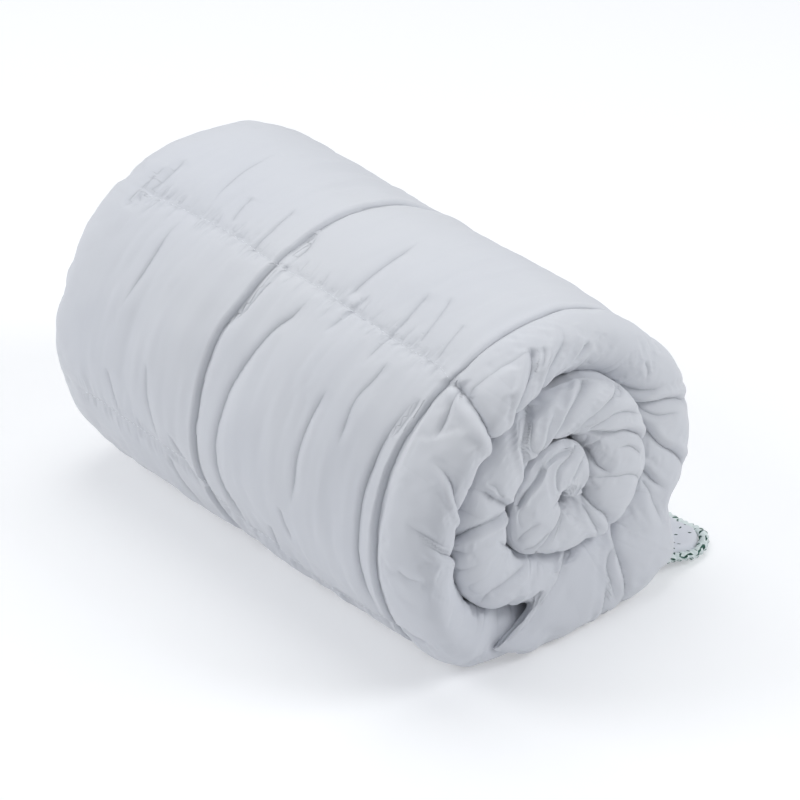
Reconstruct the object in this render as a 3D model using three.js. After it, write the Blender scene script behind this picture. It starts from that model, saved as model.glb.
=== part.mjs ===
// A padded bed quilt, folded to one width and wound into a roll that lies on its side.
// Millimetres. +X runs along the roll to the end with the open turns, +Y to the loose end, +Z is up.
// The origin is the middle of the flat patch that the roll rests on.
import * as THREE from 'three';

// Roll
const rollHalfWidth = 171;      // along Y
const rollHalfHeight = 166;     // of the round section, before the floor flattens it
const rollHeight = 302;
const flatHalfWidth = 98;       // of the patch that the floor presses flat
const flatBlend = 27;           // over which the channels come back beside it
const coreY = -8;               // the line that the quilt is wound about
const coreZ = 150;
const nearRim = 217;            // where the outer face starts to fold over, along X
const farRim = -217;
const turnGap = 2.6;            // clear space between two turns

// Sewn channels
const boxLength = 225;          // between two channels, along the wound length
const firstChannel = 149;       // angle of the channel that shows on top of the roll
const channelDepth = 7;
const channelWidth = 14;
const channelLimit = 0.13;      // a channel's depth is no more than this share of the thickness
const foldPull = 10;            // how far a channel pulls a folded end back
const middleChannelX = -30;     // the channel that runs round the roll
const middleChannelDepth = 8;
const middleChannelWidth = 9;
const rimChannelX = 204;        // the shallow channel beside the near rim
const rimChannelDepth = 3;
const rimChannelWidth = 7;
const boxCrown = 4;             // how much a box stands out between the round channels

// Loose end and its binding
const edgeY = 208.5;            // free edge of the panel
const nearSideX = 232;
const farSideX = -268;
const cornerRadius = 34;
const edgeThickness = 9;
const rootThickness = 10.6;     // under the roll, where the panel meets the winding
const cornerLift = 7;
const edgeWave = 2.5;           // how far the free edge strays from a straight line
const bindingWidth = 10;
const bindingHeight = 9;
const seamGap = 0.4;            // between the pieces

// How the quilt winds inwards. The angle is counted from straight down, over -Y and the top,
// and the share is how far out the gap inside that turn lies, from 0 at the core to 1 at the outline.
const turns = [
  { angle: -90, share: 1.0 },
  { angle: -76, share: 0.985 },
  { angle: -64, share: 0.915 },
  { angle: -56, share: 1.02 },
  { angle: -50, share: 1.09 },
  { angle: -46, share: 1.07 },
  { angle: -41, share: 0.965 },
  { angle: -33, share: 0.885 },
  { angle: -19, share: 0.775 },
  { angle: 0, share: 0.70 },
  { angle: 90, share: 0.66 },
  { angle: 180, share: 0.68 },
  { angle: 270, share: 0.60 },
  { angle: 360, share: 0.387 },
  { angle: 450, share: 0.31 },
  { angle: 540, share: 0.33 },
  { angle: 630, share: 0.155 },
  { angle: 690, share: 0.085 },
  { angle: 720, share: 0.055 },
  { angle: 1000, share: 0.03 },
];
const windingStart = -36;
const windingEnd = 1000;
const closingStart = 965;       // from here the inner end of the quilt rounds off
const tuckStart = 285;          // the outer turn goes under itself from here
const tuckEnd = 315;
const sectionStep = 9.5;        // most degrees between two sections

// Where the folded ends of the turns come to along X.
const foldTips = [
  { angle: -36, near: 255, far: -268 },
  { angle: 30, near: 268, far: -271 },
  { angle: 150, near: 267, far: -272 },
  { angle: 210, near: 258, far: -270 },
  { angle: 270, near: 246, far: -268 },
  { angle: 320, near: 252, far: -270 },
  { angle: 390, near: 270, far: -275 },
  { angle: 540, near: 271, far: -277 },
  { angle: 640, near: 264, far: -275 },
  { angle: 720, near: 270, far: -275 },
  { angle: 1000, near: 264, far: -272 },
];
const foldRound = 25;           // length over which a fold rounds off where another turn backs it

const degree = Math.PI / 180;

// Smooth value of one column of a table at an angle.
function columnAt(table, column, angle) {
  const last = table.length - 1;
  if (angle <= table[0].angle) return table[0][column];
  if (angle >= table[last].angle) return table[last][column];
  let i = 0;
  while (table[i + 1].angle < angle) i += 1;
  const slope = (k) => {
    const before = table[Math.max(k - 1, 0)];
    const after = table[Math.min(k + 1, last)];
    return (after[column] - before[column]) / (after.angle - before.angle);
  };
  const span = table[i + 1].angle - table[i].angle;
  const t = (angle - table[i].angle) / span;
  const start = table[i][column];
  const rise = table[i + 1][column] - start;
  const a = slope(i) * span - rise;
  const b = rise - slope(i + 1) * span;
  return start + rise * t + t * (1 - t) * (a * (1 - t) + b * t);
}

// Distance from the core to the outline of the roll: a round section cut flat by the floor.
function outlineReach(angle) {
  const y = -Math.sin(angle * degree);
  const z = -Math.cos(angle * degree);
  const centreZ = rollHeight - rollHalfHeight;
  const a = (y / rollHalfWidth) ** 2 + (z / rollHalfHeight) ** 2;
  const b = (coreY * y) / rollHalfWidth ** 2 + ((coreZ - centreZ) * z) / rollHalfHeight ** 2;
  const c = (coreY / rollHalfWidth) ** 2 + ((coreZ - centreZ) / rollHalfHeight) ** 2 - 1;
  const round = (-b + Math.sqrt(b * b - a * c)) / a;
  return z < 0 ? Math.min(round, coreZ / -z) : round;
}

function floorReach(angle) {
  return coreZ / Math.cos(angle * degree);
}

// Radii of a turn's two faces before the channels are drawn in.
function faceRadii(angle) {
  const reach = outlineReach(angle);
  const gap = (turnGap / 2) * THREE.MathUtils.smoothstep(angle, tuckStart, tuckEnd);
  let outer = reach * columnAt(turns, 'share', angle - 360) - gap;
  if (angle < 0) outer = floorReach(angle);
  return { outer, inner: reach * columnAt(turns, 'share', angle) + turnGap / 2 };
}

// The angles at which a channel crosses the winding, one box length apart along its outer face.
function channelAngles() {
  const step = 0.5;
  const lowest = windingStart + 8;
  const found = [];
  for (const direction of [-1, 1]) {
    let travelled = direction < 0 ? 0 : boxLength;
    let angle = firstChannel;
    while (angle > lowest && angle < closingStart) {
      if (travelled >= boxLength) {
        found.push(angle);
        travelled = 0;
      }
      travelled += faceRadii(angle).outer * step * degree;
      angle += direction * step;
    }
  }
  return found.sort((a, b) => a - b);
}

const channels = channelAngles();

// 0 on the patch that the floor presses flat, 1 from a little beyond it.
function clearOfFloor(angle) {
  if (angle < 0) return 0;
  const y = coreY - outlineReach(angle) * Math.sin(angle * degree);
  return angle > 60 ? 1
    : THREE.MathUtils.smoothstep(Math.abs(y), flatHalfWidth, flatHalfWidth + flatBlend);
}

// 1 on a channel that crosses the winding, falling to 0 beside it.
function channelShare(angle) {
  const { outer } = faceRadii(angle);
  let share = 0;
  for (const channel of channels) {
    const distance = (channel - angle) * degree * outer;
    share = Math.max(share, Math.exp(-((distance / channelWidth) ** 2)));
  }
  return share;
}

// How deep a channel that crosses the winding draws in each face.
function crossDepth(angle) {
  const { outer, inner } = faceRadii(angle);
  return Math.min(channelDepth, (outer - inner) * channelLimit) * channelShare(angle);
}

// How far the outer face stands back at one X, for the channels that run round the roll.
function roundDepth(angle, x) {
  const outerTurn = 1 - THREE.MathUtils.smoothstep(angle, tuckStart, tuckEnd);
  const middle = middleChannelDepth * Math.exp(-(((x - middleChannelX) / middleChannelWidth) ** 2));
  const rim = rimChannelDepth * Math.exp(-(((x - rimChannelX) / rimChannelWidth) ** 2));
  const [start, end] = x < middleChannelX ? [farRim, middleChannelX] : [middleChannelX, nearRim];
  const share = THREE.MathUtils.clamp((x - start) / (end - start), 0, 1);
  const crown = boxCrown * (1 - Math.sin(share * Math.PI)) ** 2;
  return (crown + Math.max(middle, rim)) * outerTurn;
}

function woundPoint(angle, radius, x) {
  const y = coreY - radius * Math.sin(angle * degree);
  const z = coreZ - radius * Math.cos(angle * degree);
  return new THREE.Vector3(x, y, Math.max(z, 0));
}

// One section of the winding: along the outer face, round the near fold, back along the inner face
// and round the far fold. A fold starts at the rim where it shows, and later between two turns.
function windingSection(angle) {
  const outerStations = [farRim, -160, -100, -52, -39, middleChannelX, -21, -8, 50, 110, 165, 192,
    rimChannelX, nearRim];
  const innerStations = [1, 0.5, 0, -0.5, -1];
  const foldSteps = 5;
  const { outer, inner } = faceRadii(angle);
  const closing = THREE.MathUtils.clamp((angle - closingStart) / (windingEnd - closingStart), 0, 0.93);
  const middle = (outer + inner) / 2;
  const half = ((outer - inner) / 2) * Math.sqrt(1 - closing * closing);
  const cross = crossDepth(angle);
  const aboveFloor = clearOfFloor(angle);
  const covered = THREE.MathUtils.smoothstep(angle, tuckStart, tuckEnd);
  const pull = foldPull * channelShare(angle);
  const outerAt = (x) => middle + half - Math.max(cross, roundDepth(angle, x)) * aboveFloor;
  const innerRadius = middle - half + cross;
  const section = [];
  const addFold = (outerRim, innerRim, tip, steps) => {
    for (const step of steps) {
      const turn = (step / (foldSteps + 1)) * Math.PI;
      const radius = (outerAt(outerRim) + innerRadius) / 2
        + ((outerAt(outerRim) - innerRadius) / 2) * Math.cos(turn);
      const rim = turn < Math.PI / 2 ? outerRim : innerRim;
      section.push(woundPoint(angle, radius, rim + (tip - rim) * Math.sin(turn)));
    }
  };
  const nearTip = columnAt(foldTips, 'near', angle) - pull;
  const farTip = columnAt(foldTips, 'far', angle) + pull;
  const nearInner = nearTip - foldRound;
  const farInner = farTip + foldRound;
  const nearOuter = THREE.MathUtils.lerp(nearRim, nearInner, covered);
  const farOuter = THREE.MathUtils.lerp(farRim, farInner, covered);
  for (const x of outerStations) section.push(woundPoint(angle, outerAt(x), x));
  addFold(nearOuter, nearInner, nearTip, [0.4, 1, 2, 3, 4, 5]);
  for (const share of innerStations) {
    section.push(woundPoint(angle, innerRadius, share > 0 ? share * nearInner : -share * farInner));
  }
  addFold(farOuter, farInner, farTip, [5, 4, 3, 2, 1, 0.4]);
  return section;
}

// The angles of the sections, with one on each channel.
function sectionAngles() {
  const stops = [windingStart, ...channels, windingEnd];
  const angles = [];
  for (let i = 0; i + 1 < stops.length; i += 1) {
    const steps = Math.ceil((stops[i + 1] - stops[i]) / sectionStep);
    for (let k = 0; k < steps; k += 1) {
      angles.push(stops[i] + ((stops[i + 1] - stops[i]) * k) / steps);
    }
  }
  angles.push(windingEnd);
  return angles;
}

// A closed body through a row of sections, each a closed ring of as many points, with its faces
// turned outwards.
function bodyThrough(sections) {
  const count = sections[0].length;
  const points = sections.flat();
  const faces = [];
  for (let s = 0; s + 1 < sections.length; s += 1) {
    for (let k = 0; k < count; k += 1) {
      const a = s * count + k;
      const b = s * count + ((k + 1) % count);
      faces.push(a, a + count, b, b, a + count, b + count);
    }
  }
  for (const [s, forward] of [[0, true], [sections.length - 1, false]]) {
    const middle = new THREE.Vector3();
    for (const point of sections[s]) middle.addScaledVector(point, 1 / count);
    const hub = points.push(middle) - 1;
    for (let k = 0; k < count; k += 1) {
      const a = s * count + k;
      const b = s * count + ((k + 1) % count);
      if (forward) faces.push(hub, a, b);
      else faces.push(hub, b, a);
    }
  }
  let volume = 0;
  for (let k = 0; k < faces.length; k += 3) {
    const [a, b, c] = faces.slice(k, k + 3).map((index) => points[index]);
    volume += a.dot(new THREE.Vector3().crossVectors(b, c));
  }
  if (volume < 0) faces.reverse();
  const geometry = new THREE.BufferGeometry().setFromPoints(points);
  geometry.setIndex(faces);
  geometry.computeVertexNormals();
  return geometry;
}

function quiltRoll() {
  return bodyThrough(sectionAngles().map(windingSection));
}

// The panel's near corner stands a little off the floor.
function liftAt(x, y) {
  const along = THREE.MathUtils.smoothstep(x, nearSideX - 90, nearSideX);
  const out = THREE.MathUtils.smoothstep(y, edgeY - 60, edgeY);
  return cornerLift * along * out;
}

// The free edge lies in shallow waves that die out at the corners.
function waveAt(x) {
  const inside = Math.min(nearSideX - cornerRadius - x, x - farSideX - cornerRadius);
  return edgeWave * Math.sin(x / 41) * THREE.MathUtils.smoothstep(inside, 0, 60);
}

// How far the panel reaches along Y at one X, round its two corners.
function panelReach(x) {
  const past = Math.max(x - (nearSideX - cornerRadius), farSideX + cornerRadius - x, 0);
  const round = Math.sqrt(cornerRadius ** 2 - Math.min(past, cornerRadius) ** 2);
  return edgeY - cornerRadius + round + waveAt(x);
}

// One section of the loose end at one X: out along its top, round the free edge, back underneath.
// Its root is parallel to the end of the winding and lies close against it.
function panelSection(x) {
  const root = windingStart * degree;
  const footY = coreY - coreZ * Math.tan(root) + seamGap / Math.cos(root);
  const topY = footY + rootThickness * Math.tan(root);
  const reach = panelReach(x);
  const shares = [0, 0.15, 0.35, 0.55, 0.75, 0.93];
  const section = [];
  for (const share of shares) {
    const y = THREE.MathUtils.lerp(topY, reach, share);
    const height = THREE.MathUtils.lerp(rootThickness, edgeThickness, share);
    section.push(new THREE.Vector3(x, y, height + liftAt(x, y)));
  }
  section.push(new THREE.Vector3(x, reach, edgeThickness / 2 + liftAt(x, reach)));
  for (const share of shares.toReversed()) {
    const y = THREE.MathUtils.lerp(footY, reach, share);
    section.push(new THREE.Vector3(x, y, liftAt(x, y)));
  }
  return section;
}

function looseEnd() {
  const stations = [];
  for (const side of [-1, 1]) {
    const end = side < 0 ? farSideX : nearSideX;
    for (let k = 0; k <= 5; k += 1) {
      stations.push(end - side * cornerRadius * (1 - Math.sin((k / 5) * 90 * degree)));
    }
    if (side < 0) {
      for (let x = farSideX + 52; x < nearSideX - 45; x += 18) stations.push(x);
    }
  }
  stations.sort((a, b) => a - b);
  return bodyThrough(stations.map(panelSection));
}

// The line that the binding follows, half its width outside the panel's edge.
function bindingPath() {
  const out = seamGap + bindingWidth / 2;
  const startY = coreY - coreZ * Math.tan(windingStart * degree) + 3;
  const radius = cornerRadius + out;
  const straightY = edgeY - cornerRadius;
  const points = [];
  const addLine = (x0, y0, x1, y1, steps) => {
    for (let k = 0; k < steps; k += 1) {
      points.push(new THREE.Vector2(x0 + ((x1 - x0) * k) / steps, y0 + ((y1 - y0) * k) / steps));
    }
  };
  const addCorner = (x, from) => {
    for (let k = 0; k < 6; k += 1) {
      const turn = (from + 15 * k) * degree;
      points.push(new THREE.Vector2(x + radius * Math.cos(turn), straightY + radius * Math.sin(turn)));
    }
  };
  addLine(nearSideX + out, startY, nearSideX + out, straightY, 3);
  addCorner(nearSideX - cornerRadius, 0);
  addLine(nearSideX - cornerRadius, edgeY + out, farSideX + cornerRadius, edgeY + out, 24);
  addCorner(farSideX + cornerRadius, 90);
  addLine(farSideX - out, straightY, farSideX - out, startY, 3);
  points.push(new THREE.Vector2(farSideX - out, startY));
  for (const point of points) {
    if (point.y > edgeY) point.y += waveAt(point.x);
  }
  return points;
}

// The binding is a flattened round strip with its lowest line on the floor or on the panel's lift.
function edgeBinding() {
  const sides = 10;
  const topSine = Math.sin(((Math.floor(sides / 4) + 0.5) / sides) * 2 * Math.PI);
  const path = bindingPath();
  const sections = path.map((point, i) => {
    const ahead = path[Math.min(i + 1, path.length - 1)];
    const behind = path[Math.max(i - 1, 0)];
    const run = new THREE.Vector2().subVectors(ahead, behind).normalize();
    const section = [];
    for (let k = 0; k < sides; k += 1) {
      const turn = ((k + 0.5) / sides) * 2 * Math.PI;
      const across = (bindingWidth / 2) * Math.cos(turn);
      const up = (bindingHeight / 2) * (Math.sin(turn) / topSine);
      const x = point.x + run.y * across;
      const y = point.y - run.x * across;
      section.push(new THREE.Vector3(x, y, bindingHeight / 2 + up + liftAt(point.x, point.y)));
    }
    return section;
  });
  return bodyThrough(sections);
}

function piece(name, geometry, color, roughness) {
  const material = new THREE.MeshStandardMaterial({ color, roughness, metalness: 0 });
  const mesh = new THREE.Mesh(geometry, material);
  mesh.name = name;
  return mesh;
}

const quilt = new THREE.Group();
quilt.add(piece('quilt_roll', quiltRoll(), 0xe3e6ee, 0.62));
quilt.add(piece('loose_end', looseEnd(), 0xe6edef, 0.65));
quilt.add(piece('edge_binding', edgeBinding(), 0xcfe0d6, 0.7));

export default quilt;
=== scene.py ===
import math

import bmesh
import bpy
import mathutils
import numpy as np
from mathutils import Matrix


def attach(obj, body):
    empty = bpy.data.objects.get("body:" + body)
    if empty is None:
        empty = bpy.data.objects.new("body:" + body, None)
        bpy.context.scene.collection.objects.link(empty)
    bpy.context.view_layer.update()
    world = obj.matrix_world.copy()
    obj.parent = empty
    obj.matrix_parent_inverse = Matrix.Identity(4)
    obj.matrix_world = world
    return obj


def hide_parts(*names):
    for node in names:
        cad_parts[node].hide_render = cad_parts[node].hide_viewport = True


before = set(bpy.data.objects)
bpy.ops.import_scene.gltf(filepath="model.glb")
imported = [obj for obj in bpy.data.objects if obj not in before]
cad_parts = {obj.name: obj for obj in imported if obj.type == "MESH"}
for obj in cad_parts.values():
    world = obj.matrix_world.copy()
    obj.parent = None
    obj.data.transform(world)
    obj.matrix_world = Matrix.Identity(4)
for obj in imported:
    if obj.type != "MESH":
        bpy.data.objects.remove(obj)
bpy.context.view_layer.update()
mm = 0.001


# Small helpers. All shapes below are worked out in millimetres.

def smooth(x, low, high):
    t = np.clip((np.asarray(x, float) - low) / (high - low), 0, 1)
    return t * t * (3 - 2 * t)


def bell(x, middle, spread):
    return np.exp(-(((x - middle) / spread) ** 2))


def table(names, *rows):
    return dict(zip(names.split(), np.array(rows, float).T))


def hermite(x, knots, values):
    # a smooth curve through the values at the knots
    x = np.clip(np.asarray(x, float), knots[0], knots[-1])
    i = np.clip(np.searchsorted(knots, x, side="right") - 1, 0, len(knots) - 2)
    spread = (slice(None),) + (None,) * (values.ndim - 1)
    slope = np.empty_like(values)
    slope[1:-1] = (values[2:] - values[:-2]) / (knots[2:] - knots[:-2])[spread]
    slope[0] = (values[1] - values[0]) / (knots[1] - knots[0])
    slope[-1] = (values[-1] - values[-2]) / (knots[-1] - knots[-2])
    span = knots[i + 1] - knots[i]
    t = (x - knots[i]) / span
    if values.ndim > 1:
        span = span[spread]
        t = t[spread]
    rise = values[i + 1] - values[i]
    leaving = slope[i] * span - rise
    arriving = rise - slope[i + 1] * span
    return values[i] + rise * t + t * (1 - t) * (leaving * (1 - t) + arriving * t)


def follow(x, rows, column, key="angle"):
    return hermite(x, rows[key], rows[column])


def lumps(points, size, seed):
    # soft lumps between -1 and 1, with the given size in the points' own units
    side = 32
    lattice = np.random.default_rng(seed).uniform(-1, 1, (side, side, side))
    cell = np.asarray(points, float) / size
    low = np.floor(cell).astype(int)
    f = cell - low
    f = f * f * (3 - 2 * f)
    total = np.zeros(cell.shape[:-1])
    for dx, dy, dz in np.ndindex(2, 2, 2):
        share = np.abs(1 - dx - f[..., 0]) * np.abs(1 - dy - f[..., 1])
        share = share * np.abs(1 - dz - f[..., 2])
        corner = (low + (dx, dy, dz)) % side
        total += share * lattice[corner[..., 0], corner[..., 1], corner[..., 2]]
    return total


def layers(points, *rows):
    # several sizes of lumps together, each given as (height, size, seed)
    return sum(height * lumps(points, size, seed) for height, size, seed in rows)


def gridNormals(points):
    # rows run round the roll and columns round its section, so the sign is the same everywhere
    across = np.roll(points, -1, 1) - np.roll(points, 1, 1)
    along = np.gradient(points, axis=0)
    normal = np.cross(across, along)
    return normal / (np.linalg.norm(normal, axis=-1, keepdims=True) + 1e-9)


def link(piece):
    bpy.context.scene.collection.objects.link(piece)
    return piece


def makeMesh(name, points, faces, uvs=None):
    mesh = bpy.data.meshes.new(name)
    mesh.from_pydata((np.asarray(points) * mm).tolist(), [], faces)
    if uvs is not None:
        layer = mesh.uv_layers.new(name="cloth")
        index = np.empty(len(mesh.loops), dtype=np.int32)
        mesh.loops.foreach_get("vertex_index", index)
        layer.uv.foreach_set("vector", (np.asarray(uvs)[index] * mm).ravel())
    mesh.update()
    mesh.shade_smooth()
    return link(bpy.data.objects.new(name, mesh))


def ringFaces(rows, columns, first=0):
    faces = []
    for r in range(rows - 1):
        for c in range(columns):
            a = first + r * columns + c
            b = first + r * columns + (c + 1) % columns
            faces.append((a, a + columns, b + columns, b))
    return faces


def faceOut(piece):
    shape = bmesh.new()
    shape.from_mesh(piece.data)
    bmesh.ops.recalc_face_normals(shape, faces=shape.faces)
    if shape.calc_volume(signed=True) < 0:
        bmesh.ops.reverse_faces(shape, faces=shape.faces)
    shape.to_mesh(piece.data)
    shape.free()


# Camera

cameraSizes = {
    "target": (0.0, 0.0, 0.15),
    "distance": 3.5368,
    "azimuth": 49.963,
    "elevation": 29.987,
    "lens": 180.0,
    "sensor": 36.0,
    "aside": -34.04,       # how far the target lies from the middle of the picture, in pixels
    "below": -24.78,
    "roll": 0.5083,
    "pictureSide": 800,
    "seesTo": 60,
}


def makeCamera(sizes):
    azimuth = math.radians(sizes["azimuth"])
    elevation = math.radians(sizes["elevation"])
    focal = sizes["lens"] / sizes["sensor"] * sizes["pictureSide"]
    x, y, z = sizes["target"]
    reach = sizes["distance"]
    data = bpy.data.cameras.new("camera")
    data.lens = sizes["lens"]
    data.sensor_width = sizes["sensor"]
    data.clip_end = sizes["seesTo"]
    camera = bpy.data.objects.new("camera", data)
    camera.location = (
        x + reach * math.sin(azimuth) * math.cos(elevation),
        y - reach * math.cos(azimuth) * math.cos(elevation),
        z + reach * math.sin(elevation),
    )
    yaw = azimuth + math.atan2(sizes["aside"], focal)
    pitch = elevation - math.atan2(sizes["below"], focal)
    look = mathutils.Euler((math.pi / 2 - pitch, 0, yaw)).to_matrix()
    look = look @ mathutils.Matrix.Rotation(math.radians(sizes["roll"]), 3, "Z")
    camera.rotation_euler = look.to_euler()
    bpy.context.scene.camera = link(camera)


makeCamera(cameraSizes)
print("camera placed")


# The roll. The quilt winds inwards about one line along X: its angle is counted from straight
# down, over -Y and the top, and on to 1000 degrees at the core.

rollSizes = {
    "halfWidth": 171,
    "halfHeight": 166,
    "height": 302,
    "coreY": -8,
    "coreZ": 150,
    "start": -36,
    "end": 1000,
    "nearRim": 217,        # where the outer face ends and the round end starts
    "farPull": 14,         # how much sooner it starts at the far end
    "foldDepth": 25,       # how far a covered turn's end folds in from its tip
    "coreFolds": (680, 760, 0.5),  # over these angles it comes to fold in less, by this share
    "leastFold": 8,        # the least depth of a round end
    "turnGap": 1.2,
    "foldSquareness": 2.5, # of covered turns, where 2 is a half round end and more is boxier
    "openSquareness": 2.1,
    "covering": (285, 315), # over these angles the next turn comes to cover the outer face
    "coverEnd": 330,       # from here on the outer face is covered and has few points
    "boxCrown": 4.0,
    "crownSquareness": 2.4,
    "leastRadius": 22,     # round the core the rows of points come no closer than on this radius
    "clothRadius": 120,    # a middling radius, for where each row lies on the cloth laid out flat
    "heel": {"angle": 31, "spread": 15, "depth": 18},  # covered turns draw in beside the floor
    "sole": {"angle": 33, "spread": 7, "depth": 3},
    "shoulder": {"angle": 224, "spread": 22, "depth": 7, "along": (120, 225), "radius": 170},
}

turns = table(
    "angle share",
    (-90, 1.0), (-76, 0.985), (-64, 0.915), (-56, 1.02), (-50, 1.09), (-46, 1.07), (-41, 0.965),
    (-33, 0.885), (-19, 0.775), (0, 0.7), (90, 0.715), (180, 0.69), (270, 0.6), (360, 0.387),
    (450, 0.355), (540, 0.365), (630, 0.155), (690, 0.08), (720, 0.04), (1000, 0.012),
)
tips = table(
    "angle near far",
    (-36, 238, -262), (0, 251, -262), (20, 258, -262), (33, 261, -261), (44, 267, -260), (150, 267, -260),
    (210, 247, -262), (235, 242, -263), (265, 246, -264), (300, 254, -266), (320, 260, -268),
    (345, 263, -270), (390, 270, -273), (540, 271, -274), (640, 264, -272), (720, 270, -275),
    (1000, 264, -272),
)

# The last outer turn sags at the near end, in front of the layer below, down to the floor
sagSizes = {
    "starts": (305, 319),
    "ends": (-6, 3),       # degrees beside the last angle
    "lean": 19,            # how far the flap leans over, in degrees
    "leans": (348, 372),
    "grows": (0, 38),      # over the fold's round end
    "fades": (62, 125),
    "clearance": 2,
}
footReach = table(
    "angle reach",
    (304, 186), (316, 192), (330, 172), (345, 154), (360, 148), (375, 150), (385, 148), (394, 146),
    (402, 140),
)
sagEnd = table(
    "phi angle",
    (0, 372), (20, 376), (38, 378), (58, 378), (72, 376), (85, 373), (98, 367), (112, 361), (140, 351),
    (180, 341),
)


def outline(angle, share):
    # how far from the core the outside of the roll lies
    s = rollSizes
    y = -np.sin(np.radians(angle))
    z = -np.cos(np.radians(angle))
    middle = s["height"] - s["halfHeight"]
    a = (y / s["halfWidth"]) ** 2 + (z / s["halfHeight"]) ** 2
    b = s["coreY"] * y / s["halfWidth"] ** 2 + (s["coreZ"] - middle) * z / s["halfHeight"] ** 2
    c = (s["coreY"] / s["halfWidth"]) ** 2 + ((s["coreZ"] - middle) / s["halfHeight"]) ** 2 - 1
    reach = (-b + np.sqrt(b * b - a * c)) / a
    floor = s["coreZ"] / np.maximum(-z, 1e-6)
    reach = np.where(z < 0, np.minimum(reach, floor), reach)
    aside = np.abs((np.asarray(angle) + 180) % 360 - 180)
    heel = s["heel"]
    sole = s["sole"]
    drawnIn = heel["depth"] * bell(aside, heel["angle"], heel["spread"]) * (1 - smooth(share, 0.75, 1.0))
    return reach - drawnIn - sole["depth"] * bell(aside, sole["angle"], sole["spread"])


def radii(angle):
    # the outer and the inner face of the padded layer
    s = rollSizes
    angle = np.asarray(angle, float)
    outerShare = follow(angle - 360, turns, "share")
    innerShare = follow(angle, turns, "share")
    outer = outline(angle, outerShare) * outerShare - s["turnGap"] * smooth(angle, *s["covering"])
    foot = s["coreZ"] / np.cos(np.radians(np.minimum(angle, 0)))
    outer = np.where(angle < 0, np.minimum(foot, outline(angle, 1) + s["sole"]["depth"]), outer)
    return outer, outline(angle, innerShare) * innerShare + s["turnGap"]


def wound(angle, radius, x):
    # the roll is a little slimmer at its near end, at the back of the top
    s = rollSizes
    slim = s["shoulder"]
    share = bell(angle, slim["angle"], slim["spread"]) * smooth(x, *slim["along"])
    share = share * (np.asarray(radius) / slim["radius"]) ** 4
    radius = radius - slim["depth"] * share
    turn = np.radians(angle)
    y = s["coreY"] - radius * np.sin(turn)
    z = s["coreZ"] - radius * np.cos(turn)
    return np.stack(np.broadcast_arrays(x, y, z), -1)


def sagOver(angle, phi, outer, radius):
    s = sagSizes
    lastAngle = follow(phi, sagEnd, "angle", key="phi")
    before, after = s["ends"]
    sag = smooth(angle, *s["starts"]) * (1 - smooth(angle, lastAngle + before, lastAngle + after))
    sway = smooth(phi, *s["grows"]) * (1 - smooth(phi, *s["fades"]))
    turned = angle + s["lean"] * sag * sway * smooth(angle, *s["leans"])
    down = (rollSizes["coreZ"] - s["clearance"]) / np.maximum(np.cos(np.radians(turned)), 0.3)
    floor = np.minimum(down, follow(turned, footReach, "reach"))
    return turned, radius + np.maximum(floor - outer, 0) * sag * sway


def foldPoint(angle, phi, side):
    # phi goes from 0 on the outer face, over the tip, to 180 on the inner face
    s = rollSizes
    angle, phi = np.broadcast_arrays(np.asarray(angle, float), np.asarray(phi, float))
    outer, inner = radii(angle)
    covered = smooth(angle, *s["covering"])
    tip = np.abs(follow(angle, tips, side))
    first, last, less = s["coreFolds"]
    innerRim = tip - s["foldDepth"] * (1 - less * smooth(angle, first, last))
    outerRim = s["nearRim"] + (innerRim - s["nearRim"]) * covered
    outerRim = np.minimum(outerRim, tip - s["leastFold"])
    square = s["openSquareness"]
    if side == "far":
        outerRim = outerRim - s["farPull"]
    else:
        square = square + (s["foldSquareness"] - square) * np.where(phi < 90, covered, 1)
    rim = np.where(phi < 90, outerRim, innerRim)
    power = 2 / square
    up = np.cos(np.radians(phi))
    up = np.sign(up) * np.abs(up) ** power
    out = np.abs(np.sin(np.radians(phi))) ** power
    radius = (outer + inner) / 2 + (outer - inner) / 2 * up
    if side == "far":
        return wound(angle, radius, -(rim + (tip - rim) * out))
    angle, radius = sagOver(angle, phi, outer, radius)
    return wound(angle, radius, rim + (tip - rim) * out)


def facePoint(angle, x):
    return wound(angle, radii(angle)[0], x)


def rowAngles(first, last, step):
    # angles at even distances along the padded layer
    angles = [first]
    while angles[-1] < last:
        outer, inner = radii(angles[-1])
        radius = max(float(outer + inner) / 2, rollSizes["leastRadius"])
        angles.append(angles[-1] + math.degrees(step / radius))
    angles[-1] = last
    return np.array(angles)


outerFace, nearFold, innerFace, farFold = range(4)   # the parts that each row of points runs through


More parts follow.
